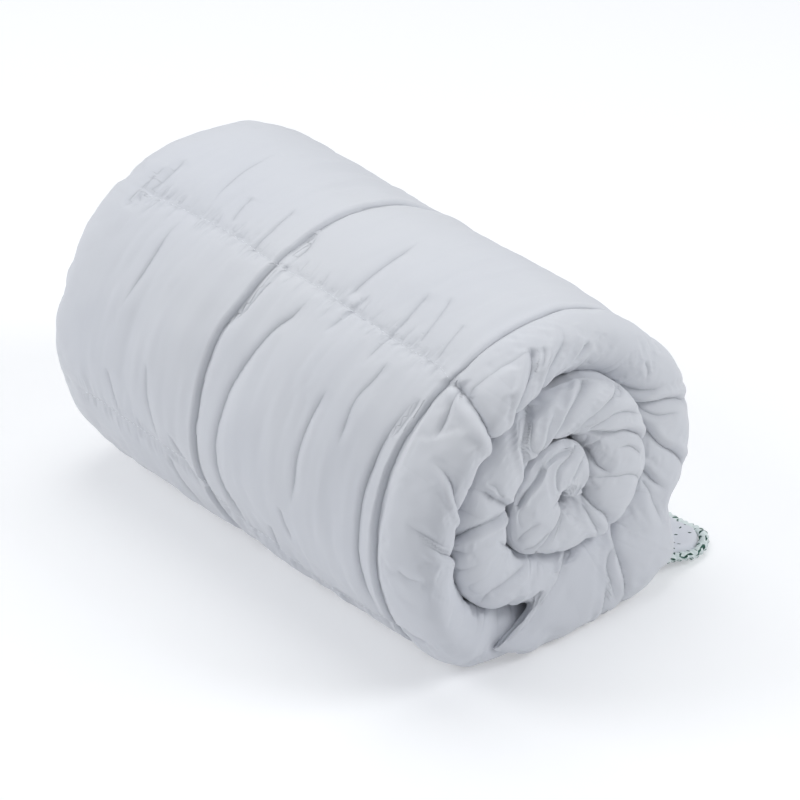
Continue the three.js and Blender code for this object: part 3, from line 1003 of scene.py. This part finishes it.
def swell(values):
    # lets the coarse quilt fill out between its held lines, by Cloth, and returns how its points moved
    wind = windRoll(values["detail"], finished=False)
    points = wind["points"]
    piece = makeMesh("swelling", points, wind["faces"])
    faceOut(piece)
    held = heldShares(wind["blocks"])
    group = piece.vertex_groups.new(name="held")
    for level in (0.25, 0.5, 0.75, 1.0):
        chosen = np.nonzero((held > level - 0.125) & (held <= level + 0.125))[0]
        group.add(chosen.tolist(), level, "REPLACE")
    modifier = piece.modifiers.new("swell", "CLOTH")
    cloth = modifier.settings
    for name, value in values["cloth"].items():
        setattr(cloth, name, value)
    cloth.vertex_group_mass = "held"
    cloth.shrink_min = -values["growth"]
    cloth.effector_weights.gravity = 0
    modifier.collision_settings.use_collision = False
    modifier.point_cache.frame_start = 1
    modifier.point_cache.frame_end = values["frames"]
    scene = bpy.context.scene
    for number in range(1, values["frames"] + 1):
        scene.frame_set(number)
    seen = piece.evaluated_get(bpy.context.evaluated_depsgraph_get())
    moved = np.empty(len(points) * 3)
    seen.data.vertices.foreach_get("co", moved)
    shift = moved.reshape(-1, 3) / mm - points
    length = np.linalg.norm(shift, axis=1)
    print("swelling: mean", round(float(length.mean()), 2), "most", round(float(length.max()), 2), "mm")
    limit = values["most"]
    shift *= (limit * np.tanh(length / limit) / np.maximum(length, 1e-6))[:, None]
    bpy.data.objects.remove(piece)
    scene.frame_set(1)
    moves = []
    first = 0
    for block in wind["blocks"]:
        count = block["part"].size
        share = np.where(block["part"] == outerFace, values["faceShare"], 1)[..., None]
        blockShift = shift[first:first + count].reshape(block["base"].shape) * share
        moves.append({"angle": block["angle"][:, 0], "across": block["across"], "shift": blockShift})
        first += count
    return moves


def makeRoll():
    moves = swell(swellSizes)
    print("quilt swollen")
    wind = windRoll(fineDetail, moves)
    made = makeMesh("roll", wind["points"], wind["faces"], wind["uvs"])
    # the crease sides and strengths go on the mesh, for the material's bump and painted shade
    for name in ("foldSide", "foldBumpAndShade", "pullSide", "pullBumpAndShade"):
        values = np.concatenate([block[name].ravel() for block in wind["blocks"]] + [np.zeros(2)])
        made.data.attributes.new(name, "FLOAT", "POINT").data.foreach_set("value", values.astype(np.float32))
    return made, wind["blocks"][0]


roll, cover = makeRoll()
print("roll wound:", len(roll.data.vertices), "points")


# Node helpers

def fill(tree, inputs, values):
    # links each value that is a socket, and sets each that is a number or a colour
    for name, value in values.items():
        if isinstance(value, bpy.types.NodeSocket):
            tree.links.new(value, inputs[name])
        else:
            inputs[name].default_value = value


def addNode(tree, kind, values=None, **settings):
    node = tree.nodes.new(kind)
    for name, value in settings.items():
        setattr(node, name, value)
    fill(tree, node.inputs, values or {})
    return node


def addGroup(tree, group, values):
    return addNode(tree, "ShaderNodeGroup", values, node_tree=group).outputs


def calc(tree, operation, *values, clamp=False):
    node = addNode(tree, "ShaderNodeMath", dict(enumerate(values)), operation=operation, use_clamp=clamp)
    return node.outputs[0]


def scaled(tree, vector, factor):
    node = addNode(tree, "ShaderNodeVectorMath", {0: vector, "Scale": factor}, operation="SCALE")
    return node.outputs["Vector"]


def mixColour(tree, factor, first, second, **settings):
    values = {"Factor": factor, "A": first, "B": second}
    return addNode(tree, "ShaderNodeMix", values, data_type="RGBA", **settings).outputs["Result"]


def newTree(name, kind, inputs, outputs):
    # a node group whose sockets are given as (name, kind) or (name, kind, value)
    tree = bpy.data.node_groups.new(name, kind)
    for way, rows in (("INPUT", inputs), ("OUTPUT", outputs)):
        for label, socketKind, *value in rows:
            socket = tree.interface.new_socket(label, in_out=way, socket_type="NodeSocket" + socketKind)
            if value:
                socket.default_value = value[0]
    return tree, tree.nodes.new("NodeGroupInput").outputs


def newMaterial(name):
    material = bpy.data.materials.new(name)
    material.use_nodes = True
    tree = material.node_tree
    tree.nodes.clear()
    shader = addNode(tree, "ShaderNodeBsdfPrincipled")
    addNode(tree, "ShaderNodeOutputMaterial", {"Surface": shader.outputs["BSDF"]})
    return material, tree, shader.inputs


# Materials

def makeWeave():
    # fine plain weave with a little unevenness in the threads
    tree, given = newTree(
        "clothWeave",
        "ShaderNodeTree",
        [("Vector", "Vector"), ("Pitch", "Float", 0.0006), ("Unevenness", "Float", 0.35)],
        [("Height", "Float"), ("Tone", "Float")],
    )
    perLength = calc(tree, "DIVIDE", 2 * math.pi, given["Pitch"])
    threads = scaled(tree, given["Vector"], perLength)
    parts = addNode(tree, "ShaderNodeSeparateXYZ", {"Vector": threads}).outputs
    crossing = calc(tree, "MULTIPLY", calc(tree, "SINE", parts["X"]), calc(tree, "SINE", parts["Y"]))
    slub = addNode(tree, "ShaderNodeTexNoise", {"Scale": 420, "Detail": 2, "Vector": given["Vector"]})
    uneven = calc(tree, "MULTIPLY", slub.outputs["Fac"], given["Unevenness"])
    height = calc(tree, "ADD", calc(tree, "MULTIPLY_ADD", crossing, 0.25, 0.5), uneven)
    tone = calc(tree, "MULTIPLY_ADD", height, 0.5, 0.25)
    addNode(tree, "NodeGroupOutput", {"Height": height, "Tone": tone})
    return tree


def makeTone():
    # slow drift between two shades of the same cloth
    tree, given = newTree(
        "clothTone",
        "ShaderNodeTree",
        [("Vector", "Vector"), ("Size", "Float", 6.0), ("Light", "Color", (0.8, 0.8, 0.8, 1)),
         ("Deep", "Color", (0.7, 0.7, 0.7, 1))],
        [("Color", "Color")],
    )
    drift = addNode(tree, "ShaderNodeTexNoise", {"Detail": 3, "Roughness": 0.55, "Vector": given["Vector"],
                                                 "Scale": given["Size"]})
    spread = addNode(tree, "ShaderNodeMapRange", {"From Min": 0.3, "From Max": 0.7,
                                                  "Value": drift.outputs["Fac"]})
    mixed = mixColour(tree, spread.outputs["Result"], given["Light"], given["Deep"])
    addNode(tree, "NodeGroupOutput", {"Color": mixed})
    return tree


def makeSprigs():
    # small leaves thrown about at random, one in each cell that gets one
    tree, given = newTree(
        "leafPrint",
        "ShaderNodeTree",
        [("Vector", "Vector"), ("Cells", "Float", 90.0), ("Length", "Float", 0.34),
         ("Width", "Float", 0.11), ("Share", "Float", 0.5)],
        [("Mask", "Float")],
    )
    cells = addNode(tree, "ShaderNodeTexVoronoi",
                    {"Randomness": 0.8, "Vector": given["Vector"], "Scale": given["Cells"]},
                    voronoi_dimensions="2D").outputs
    here = scaled(tree, given["Vector"], given["Cells"])
    centre = scaled(tree, cells["Position"], given["Cells"])
    local = addNode(tree, "ShaderNodeVectorMath", {0: here, 1: centre}, operation="SUBTRACT")
    chance = addNode(tree, "ShaderNodeSeparateColor", {"Color": cells["Color"]}).outputs
    angle = calc(tree, "MULTIPLY", chance["Red"], 2 * math.pi)
    spin = addNode(tree, "ShaderNodeVectorRotate", {"Vector": local.outputs["Vector"], "Angle": angle},
                   rotation_type="Z_AXIS")
    parts = addNode(tree, "ShaderNodeSeparateXYZ", {"Vector": spin.outputs["Vector"]}).outputs
    along = calc(tree, "DIVIDE", parts["X"], given["Length"])
    square = calc(tree, "MULTIPLY", along, along)
    across = calc(tree, "DIVIDE", parts["Y"], given["Width"])
    across = calc(tree, "ADD", across, calc(tree, "MULTIPLY", square, 0.35))
    inside = calc(tree, "SUBTRACT", calc(tree, "SUBTRACT", 1.0, square), calc(tree, "ABSOLUTE", across))
    edge = calc(tree, "MULTIPLY", inside, 6.0, clamp=True)
    chosen = calc(tree, "LESS_THAN", chance["Green"], given["Share"])
    addNode(tree, "NodeGroupOutput", {"Mask": calc(tree, "MULTIPLY", edge, chosen)})
    return tree


def makeFoldLine():
    # how near a place is to the bottom of a crease, from the signed distance kept on the mesh, for the bump
    # and the painted shade
    tree, given = newTree(
        "foldLine",
        "ShaderNodeTree",
        [("Side", "Float", 9.0), ("Deep", "Float", 0.0), ("Width", "Float", 1.0)],
        [("Line", "Float")],
    )
    away = calc(tree, "DIVIDE", calc(tree, "ABSOLUTE", given["Side"]), given["Width"])
    near = calc(tree, "EXPONENT", calc(tree, "MULTIPLY", away, -1.0))
    addNode(tree, "NodeGroupOutput", {"Line": calc(tree, "MULTIPLY", near, given["Deep"])})
    return tree


weaveTree = makeWeave()
foldTree = makeFoldLine()
toneTree = makeTone()
leafTree = makeSprigs()


def creaseBumpAndShade(tree, width):
    # the stronger of the two kinds of crease that are kept on the roll's mesh, drawn by the material as a
    # bump and as painted shade
    lines = []
    for side, deep in (("foldSide", "foldBumpAndShade"), ("pullSide", "pullBumpAndShade")):
        marks = {"Width": width}
        for socket, name in (("Side", side), ("Deep", deep)):
            marks[socket] = addNode(tree, "ShaderNodeAttribute", attribute_name=name).outputs["Fac"]
        lines.append(addGroup(tree, foldTree, marks)["Line"])
    return calc(tree, "MAXIMUM", *lines)


def clothMaterial(name, values):
    material, tree, shader = newMaterial(name)
    place = addNode(tree, "ShaderNodeTexCoord").outputs["Object"]
    cloth = addNode(tree, "ShaderNodeUVMap", uv_map="cloth").outputs["UV"]
    tone = addGroup(tree, toneTree, {"Vector": place, "Size": values["driftSize"], "Light": values["light"],
                                     "Deep": values["deep"]})
    weave = addGroup(tree, weaveTree, {"Vector": cloth, "Pitch": values["pitch"],
                                       "Unevenness": values["unevenness"]})
    colour = mixColour(tree, values["weaveTone"], tone["Color"], weave["Tone"], blend_type="MULTIPLY")
    for leaf in values.get("prints", []):
        mask = addGroup(tree, leafTree, dict(leaf["pattern"], Vector=cloth))["Mask"]
        colour = mixColour(tree, mask, colour, leaf["ink"])
    grain = {"Strength": values["bump"], "Distance": values["bumpDepth"], "Height": weave["Height"]}
    if "folds" in values:
        folds = values["folds"]
        line = creaseBumpAndShade(tree, folds["width"])
        # painted shade: the colour is darkened towards a shade colour along the bottoms of the creases
        colour = mixColour(tree, calc(tree, "MULTIPLY", line, folds["paintedShade"]), colour, folds["shade"])
        pressed = {"Strength": folds["bump"], "Distance": folds["depth"], "Height": line}
        grain["Normal"] = addNode(tree, "ShaderNodeBump", pressed, invert=True).outputs["Normal"]
    spread = values["roughnessSpread"]
    rough = addNode(tree, "ShaderNodeMapRange", {"To Min": values["roughness"] - spread,
                                                 "To Max": values["roughness"] + spread,
                                                 "Value": weave["Height"]})
    fill(tree, shader, {
        "Base Color": colour,
        "Normal": addNode(tree, "ShaderNodeBump", grain).outputs["Normal"],
        "Roughness": rough.outputs["Result"],
        "Sheen Weight": values["sheen"],
        "Sheen Roughness": values["sheenRoughness"],
        "Specular IOR Level": values["specular"],
    })
    return material


shellFinish = {
    "light": (0.690, 0.702, 0.732, 1),
    "deep": (0.665, 0.680, 0.722, 1),
    "driftSize": 5.0,
    "pitch": 0.0007,
    "unevenness": 0.35,
    "weaveTone": 0.05,
    "bump": 0.12,
    "bumpDepth": 0.0003,
    "roughness": 0.72,
    "roughnessSpread": 0.06,
    "sheen": 0.18,
    "sheenRoughness": 0.45,
    "specular": 0.25,
}
rollFinish = dict(
    shellFinish,
    # the creases get a bump, and painted shade that darkens the colour along their bottoms
    folds={"width": 1.1, "depth": 0.0012, "bump": 0.8, "paintedShade": 0.45, "shade": (0.36, 0.38, 0.42, 1)},
)
panelFinish = dict(
    shellFinish,
    light=(0.720, 0.735, 0.775, 1),
    deep=(0.695, 0.712, 0.762, 1),
    prints=[
        {"pattern": {"Cells": 100.0, "Length": 0.20, "Width": 0.10, "Share": 0.6},
         "ink": (0.020, 0.055, 0.045, 1)},
    ],
)
bindingFinish = dict(
    shellFinish,
    light=(0.760, 0.820, 0.810, 1),
    deep=(0.680, 0.765, 0.750, 1),
    prints=[
        {"pattern": {"Cells": 118.0, "Length": 0.52, "Width": 0.15, "Share": 0.9},
         "ink": (0.022, 0.075, 0.055, 1)},
        {"pattern": {"Cells": 90.0, "Length": 0.50, "Width": 0.11, "Share": 0.7},
         "ink": (0.040, 0.120, 0.090, 1)},
    ],
)
threadFinish = {
    "light": (0.86, 0.88, 0.91, 1),
    "deep": (0.80, 0.82, 0.86, 1),
    "driftSize": 900.0,
    "roughness": 0.55,
    "sheen": 0.2,
}


def threadMaterial(values):
    material, tree, shader = newMaterial("thread")
    place = addNode(tree, "ShaderNodeTexCoord").outputs["Object"]
    tone = addGroup(tree, toneTree, {"Vector": place, "Size": values["driftSize"], "Light": values["light"],
                                     "Deep": values["deep"]})
    fill(tree, shader, {"Base Color": tone["Color"], "Roughness": values["roughness"],
                        "Sheen Weight": values["sheen"]})
    return material


shellCloth = clothMaterial("shellCloth", rollFinish)
panelCloth = clothMaterial("panelCloth", panelFinish)
bindingCloth = clothMaterial("bindingCloth", bindingFinish)
threadPaint = threadMaterial(threadFinish)
roll.data.materials.append(shellCloth)


# Stitches along the sewn lines, by Geometry Nodes

stitchSizes = {
    "pitch": 5.4,
    "length": 3.4,
    "thick": 0.62,
    "raised": 0.12,
    "uneven": (0.85, 1.12),
    "seed": 4,
}


def onFace(angle, x):
    # the finished outer face at an angle and a place along the roll, with its normal
    angles = cover["angle"][:, 0]
    row = np.interp(angle, angles, np.arange(len(angles)))
    low = np.minimum(row.astype(int), len(angles) - 2)
    many = int((cover["part"][0] == outerFace).sum())
    column = np.interp(x, np.linspace(-rollSizes["nearRim"], rollSizes["nearRim"], many), np.arange(many))
    left = np.minimum(column.astype(int), many - 2)
    f = (row - low)[:, None]
    g = (column - left)[:, None]
    found = []
    for field in ("base", "normal"):
        grid = cover[field]
        found.append((grid[low, left] * (1 - f) + grid[low + 1, left] * f) * (1 - g)
                     + (grid[low, left + 1] * (1 - f) + grid[low + 1, left + 1] * f) * g)
    return found


def makeWires(name, seams):
    points = []
    edges = []
    for seam in seams:
        places, normals = onFace(*thicken(seam, 12))
        first = sum(len(wire) for wire in points)
        points.append(places + normals * stitchSizes["raised"])
        edges += [(first + i, first + i + 1) for i in range(len(places) - 1)]
    mesh = bpy.data.meshes.new(name)
    mesh.from_pydata((np.concatenate(points) * mm).tolist(), edges, [])
    return link(bpy.data.objects.new(name, mesh))


def stitchTree(material):
    # one long ball at even distances along each wire, a little uneven in size
    sizes = [(name, "Float") for name in ("Pitch", "Length", "Thick")]
    tree, given = newTree(
        "stitchLine",
        "GeometryNodeTree",
        [("Geometry", "Geometry")] + sizes + [("Seed", "Int")],
        [("Geometry", "Geometry")],
    )
    least, most = stitchSizes["uneven"]
    curve = addNode(tree, "GeometryNodeMeshToCurve", {"Mesh": given["Geometry"]})
    even = addNode(tree, "GeometryNodeResampleCurve",
                   {"Curve": curve.outputs["Curve"], "Length": given["Pitch"]}, mode="LENGTH")
    ball = addNode(tree, "GeometryNodeMeshUVSphere", {"Segments": 6, "Rings": 5, "Radius": 0.5})
    size = addNode(tree, "ShaderNodeCombineXYZ",
                   {"X": given["Thick"], "Y": given["Thick"], "Z": given["Length"]})
    jitter = addNode(tree, "FunctionNodeRandomValue", {2: least, 3: most, "Seed": given["Seed"]},
                     data_type="FLOAT")
    tangent = addNode(tree, "GeometryNodeInputTangent")
    turn = addNode(tree, "FunctionNodeAlignRotationToVector",
                   {"Vector": tangent.outputs["Tangent"]}, axis="Z")
    stitched = addNode(tree, "GeometryNodeInstanceOnPoints", {
        "Points": even.outputs["Curve"],
        "Instance": ball.outputs["Mesh"],
        "Scale": scaled(tree, size.outputs["Vector"], jitter.outputs[1]),
        "Rotation": turn.outputs["Rotation"],
    })
    real = addNode(tree, "GeometryNodeRealizeInstances", {"Geometry": stitched.outputs["Instances"]})
    paint = addNode(tree, "GeometryNodeSetMaterial",
                    {"Geometry": real.outputs["Geometry"], "Material": material})
    addNode(tree, "NodeGroupOutput", {"Geometry": paint.outputs["Geometry"]})
    return tree


def grow(source, tree, values, name):
    # runs a node tree on an object and keeps the result as a plain mesh
    modifier = source.modifiers.new(name, "NODES")
    modifier.node_group = tree
    for item in tree.interface.items_tree:
        if item.item_type == "SOCKET" and item.in_out == "INPUT" and item.name in values:
            modifier[item.identifier] = values[item.name]
    seen = source.evaluated_get(bpy.context.evaluated_depsgraph_get())
    mesh = bpy.data.meshes.new_from_object(seen)
    source.modifiers.remove(modifier)
    mesh.name = name
    piece = link(bpy.data.objects.new(name, mesh))
    bpy.data.objects.remove(source)
    return piece


stitches = grow(
    makeWires("seamWires", sewnSeams),
    stitchTree(threadPaint),
    {"Pitch": stitchSizes["pitch"] * mm, "Length": stitchSizes["length"] * mm,
     "Thick": stitchSizes["thick"] * mm, "Seed": stitchSizes["seed"]},
    "stitches",
)
stitches.data.shade_smooth()
print("stitches sewn:", len(stitches.data.polygons), "faces")


# The loose end with its gathered binding

panelSizes = {
    "edgeY": 206.5,
    "rootY": 94.5,
    "nearX": 231.5,
    "farX": -267.5,
    "corner": 34,
    "thick": 8.6,
    "rootThick": 9.6,
    "cornerLift": 3,
    "cornerAt": ((142, 232), (148.5, 208.5)),  # where along x, and along y, the corner rises
    "footLift": 11,
    "footAt": ((165, 232), (138, 186)),  # where along x it rises to the foot, and along y falls off
    "edgeWave": 2.5,
    "waveLength": 41,
    "waveGrows": (0, 60),  # in from either end
    "step": 2.5,
    "crowding": 1.35,      # draws the rows of points towards the free edge
    "edgeRound": 5,
    "puff": 1.2,
    "pull": 1.1,
    "pullReach": 16,
}
bindingSizes = {
    "width": 10,
    "height": 9,
    "gap": 0.4,
    "seam": 0.7,           # taken off each half of the width and the height for the gathers
    "startY": 104,
    "gatherPitch": 6.5,
    "gatherDepth": 1.25,
    "gatherFold": 0.9,     # how much a gather leans as it runs round the strip
    "wrinkle": 0.45,
    "endRound": 3,         # over this length each end closes, from this share of its thickness
    "endShare": 0.25,
    "step": 0.9,
    "columns": 18,
    "lift": 3.4,
    "shownLift": 1.4,      # how much higher it lies where it shows
    "hiddenThick": 0.62,   # its share of the height along the hidden free edge
    "hiddenPull": 3.0,     # how far it lies further in there
    "shownFrom": (196, 226),  # it shows round the near corner, from about here along x
    "sideShown": ((0, 100), (150, 195)),  # and on the far side, up to here along x and along y
}


def liftAt(x, y):
    s = panelSizes
    xs, ys = s["cornerAt"]
    corner = s["cornerLift"] * smooth(x, *xs) * smooth(y, *ys)
    xs, ys = s["footAt"]
    return corner + s["footLift"] * smooth(x, *xs) * (1 - smooth(y, *ys))


def waveAt(x):
    s = panelSizes
    inside = np.minimum(s["nearX"] - x, x - s["farX"])
    return s["edgeWave"] * np.sin(x / s["waveLength"]) * smooth(inside, *s["waveGrows"])


def cornerCut(y):
    # how much narrower the panel is at y, on account of its round corners
    s = panelSizes
    into = np.clip(y - (s["edgeY"] - s["corner"]), 0, s["corner"])
    return s["corner"] - np.sqrt(np.maximum(s["corner"] ** 2 - into ** 2, 0))


def makePanel():
    s = panelSizes
    deep = s["edgeY"] - s["rootY"]
    v = np.linspace(0, 1, int(deep / s["step"]))
    v = 1 - (1 - v[:, None]) ** s["crowding"]
    u = np.linspace(0, 1, int((s["nearX"] - s["farX"]) / s["step"]))
    flatY = s["rootY"] + deep * v
    cut = cornerCut(flatY)
    x = (s["farX"] + cut) + ((s["nearX"] - cut) - (s["farX"] + cut)) * u[None]
    y = np.broadcast_to(flatY, x.shape) + waveAt(x) * v ** 2
    inset = np.minimum(np.minimum(x - s["farX"] - cut, s["nearX"] - cut - x), s["edgeY"] - flatY)
    rounding = np.sqrt(np.clip(inset / s["edgeRound"], 0.02, 1))
    thick = s["rootThick"] + (s["thick"] - s["rootThick"]) * v
    lift = liftAt(x, y)
    place = np.stack([x, y, np.zeros_like(x)], -1)
    uneven = layers(place, (s["puff"], 34, 61)) + layers(place * np.array([1, 0.3, 1]), (0.5, 9, 62))
    pulled = s["pull"] * np.exp(-inset / s["pullReach"]) * lumps(place * np.array([1, 0.25, 1]), 7, 63)
    top = lift + thick * (0.5 + 0.5 * rounding) + (uneven + pulled) * rounding
    bottom = lift + thick * (0.5 - 0.5 * rounding)
    points = np.concatenate([np.stack([x, y, z], -1).reshape(-1, 3) for z in (top, bottom)])
    rows, columns = x.shape
    size = rows * columns
    faces = []
    for r in range(rows - 1):
        for c in range(columns - 1):
            a = r * columns + c
            faces.append((a, a + 1, a + columns + 1, a + columns))
            faces.append((size + a, size + a + columns, size + a + columns + 1, size + a + 1))
    border = list(range(columns))
    border += [r * columns + columns - 1 for r in range(1, rows)]
    border += [(rows - 1) * columns + c for c in range(columns - 2, -1, -1)]
    border += [r * columns for r in range(rows - 2, 0, -1)]
    for a, b in zip(border, border[1:] + border[:1]):
        faces.append((a, size + a, size + b, b))
    uvs = np.concatenate([np.stack([x, y], -1).reshape(-1, 2)] * 2)
    return makeMesh("looseEnd", points, faces, uvs)


def bindingPath():
    # along the near side, round the corner, along the free edge and back along the far side
    s = panelSizes
    out = bindingSizes["width"] / 2 + bindingSizes["gap"]
    radius = s["corner"] + out
    nearX = s["nearX"] + out
    farX = s["farX"] - out
    edgeY = s["edgeY"] + out
    bend = np.radians(np.linspace(0, 90, 24))
    side = np.linspace(bindingSizes["startY"] + out, edgeY - radius, 30)
    near = np.stack([np.full(len(side), nearX), side], -1)
    corner = np.stack([nearX - radius + radius * np.cos(bend), edgeY - radius + radius * np.sin(bend)], -1)
    other = np.stack([farX + radius - radius * np.sin(bend), edgeY - radius + radius * np.cos(bend)], -1)
    far = np.stack([np.full(len(side), farX), side[::-1]], -1)
    path = np.concatenate([near, corner[1:], other, far[1:]])
    steps = np.linalg.norm(np.diff(path, axis=0), axis=1)
    length = np.concatenate([[0], np.cumsum(steps)])
    fine = np.linspace(0, length[-1], int(length[-1] / bindingSizes["step"]))
    x = np.interp(fine, length, path[:, 0])
    y = np.interp(fine, length, path[:, 1])
    y = y + waveAt(x) * smooth(y, edgeY - 24, edgeY - 4)
    return fine, x, y


def shownShare(x, y):
    # 1 where the binding shows in full, and 0 along the hidden free edge
    s = bindingSizes
    xs, ys = s["sideShown"]
    return np.clip(smooth(x, *s["shownFrom"]) + (1 - smooth(y, *ys)) * (1 - smooth(x, *xs)), 0, 1)


def makeBinding():
    s = bindingSizes
    fine, x, y = bindingPath()
    tangent = np.stack([np.gradient(x), np.gradient(y)], -1)
    tangent /= np.linalg.norm(tangent, axis=-1, keepdims=True)
    outward = np.stack([tangent[:, 1], -tangent[:, 0]], -1)
    shown = shownShare(x, y)
    lift = liftAt(x, y) + s["lift"] + s["shownLift"] * shown
    thick = s["hiddenThick"] + (1 - s["hiddenThick"]) * shown[:, None]
    y = y - s["hiddenPull"] * (1 - shown)
    around = np.radians(np.arange(s["columns"]) * 360 / s["columns"])
    seedLine = np.stack([fine, fine * 0, fine * 0], -1)
    phase = fine / s["gatherPitch"] * 2 * math.pi + 2.2 * lumps(seedLine, 19, 71)
    strength = 0.75 + 0.5 * lumps(seedLine, 26, 72)
    lean = s["gatherFold"] * np.sin(around)[None]
    gather = s["gatherDepth"] * strength[:, None] * np.sin(phase[:, None] + lean)
    length = np.broadcast_to(fine[:, None], gather.shape)
    place = np.stack([length, np.broadcast_to(around * 4, gather.shape), np.zeros_like(gather)], -1)
    gather = gather + s["wrinkle"] * lumps(place, 3.0, 73)
    ends = np.minimum(fine, fine[-1] - fine) / s["endRound"] + s["endShare"]
    ends = np.minimum(1, ends)[:, None]
    across = (s["width"] / 2 - s["seam"] + gather * 0.8) * np.cos(around) * ends
    up = (s["height"] / 2 - s["seam"] + gather * 0.7) * np.sin(around) * ends * thick
    points = np.stack([x[:, None] + outward[:, :1] * across, y[:, None] + outward[:, 1:] * across,
                       np.maximum(lift[:, None] + up, 0.2)], -1)
    rows, columns = points.shape[:2]
    faces = ringFaces(rows, columns)
    for first, order in ((0, 1), ((rows - 1) * columns, -1)):
        ring = [first + c for c in range(columns)]
        faces.append(tuple(ring[::order]))
    uvs = np.stack([length, np.broadcast_to((around * 4.6)[None], gather.shape)], -1).reshape(-1, 2)
    return makeMesh("binding", points.reshape(-1, 3), faces, uvs)


panel = makePanel()
panel.data.materials.append(panelCloth)
binding = makeBinding()
binding.data.materials.append(bindingCloth)
for piece in (roll, panel, binding):
    faceOut(piece)
print("loose end laid")

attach(roll, "root")
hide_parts("quilt_roll")
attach(stitches, "root")
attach(panel, "root")
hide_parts("loose_end")
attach(binding, "root")
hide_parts("edge_binding")


# Floor, light and background

studio = {
    "floorSize": 14.0,
    "floorColour": (0.80, 0.805, 0.815, 1),
    "floorRoughness": 0.9,
    "floorGlow": 0.18,
    "floorGlowSeen": 0.25,
    "world": (0.90, 0.94, 1.0, 1),
    "worldStrength": 0.35,
    "lamps": [
        {"name": "overhead", "place": (-0.6, 0.3, 2.6), "aim": (0, 0, 0.1), "size": 2.2, "power": 27,
         "colour": (1.0, 1.0, 0.99)},
        {"name": "frontLeft", "place": (-1.8, -2.2, 1.9), "aim": (0, 0, 0.15), "size": 1.8, "power": 37,
         "colour": (0.97, 0.98, 1.0)},
        {"name": "right", "place": (1.9, 1.5, 2.0), "aim": (0.1, 0, 0.15), "size": 1.5, "power": 32,
         "colour": (0.97, 0.98, 1.0)},
    ],
}


def makeFloor():
    half = studio["floorSize"] / 2 / mm
    corners = [(-half, -half, 0), (half, -half, 0), (half, half, 0), (-half, half, 0)]
    floor = makeMesh("floor", corners, [(0, 1, 2, 3)])
    material, tree, shader = newMaterial("floorPaper")
    seen = addNode(tree, "ShaderNodeLightPath").outputs["Is Camera Ray"]
    more = studio["floorGlowSeen"] - studio["floorGlow"]
    fill(tree, shader, {
        "Base Color": studio["floorColour"],
        "Roughness": studio["floorRoughness"],
        "Emission Color": (1, 1, 1, 1),
        "Emission Strength": calc(tree, "MULTIPLY_ADD", seen, more, studio["floorGlow"]),
    })
    floor.data.materials.append(material)


def makeLamp(values):
    data = bpy.data.lights.new(values["name"], "AREA")
    data.shape = "DISK"
    data.size = values["size"]
    data.energy = values["power"]
    data.color = values["colour"]
    lamp = link(bpy.data.objects.new(values["name"], data))
    lamp.location = values["place"]
    aim = mathutils.Vector(values["aim"]) - mathutils.Vector(values["place"])
    lamp.rotation_euler = aim.to_track_quat("-Z", "Y").to_euler()


def makeWorld():
    world = bpy.data.worlds.new("studio")
    world.use_nodes = True
    background = world.node_tree.nodes["Background"]
    background.inputs["Color"].default_value = studio["world"]
    background.inputs["Strength"].default_value = studio["worldStrength"]
    bpy.context.scene.world = world


makeFloor()
makeWorld()
for lamp in studio["lamps"]:
    makeLamp(lamp)
bpy.context.scene.view_settings.view_transform = "Standard"
print("studio ready")
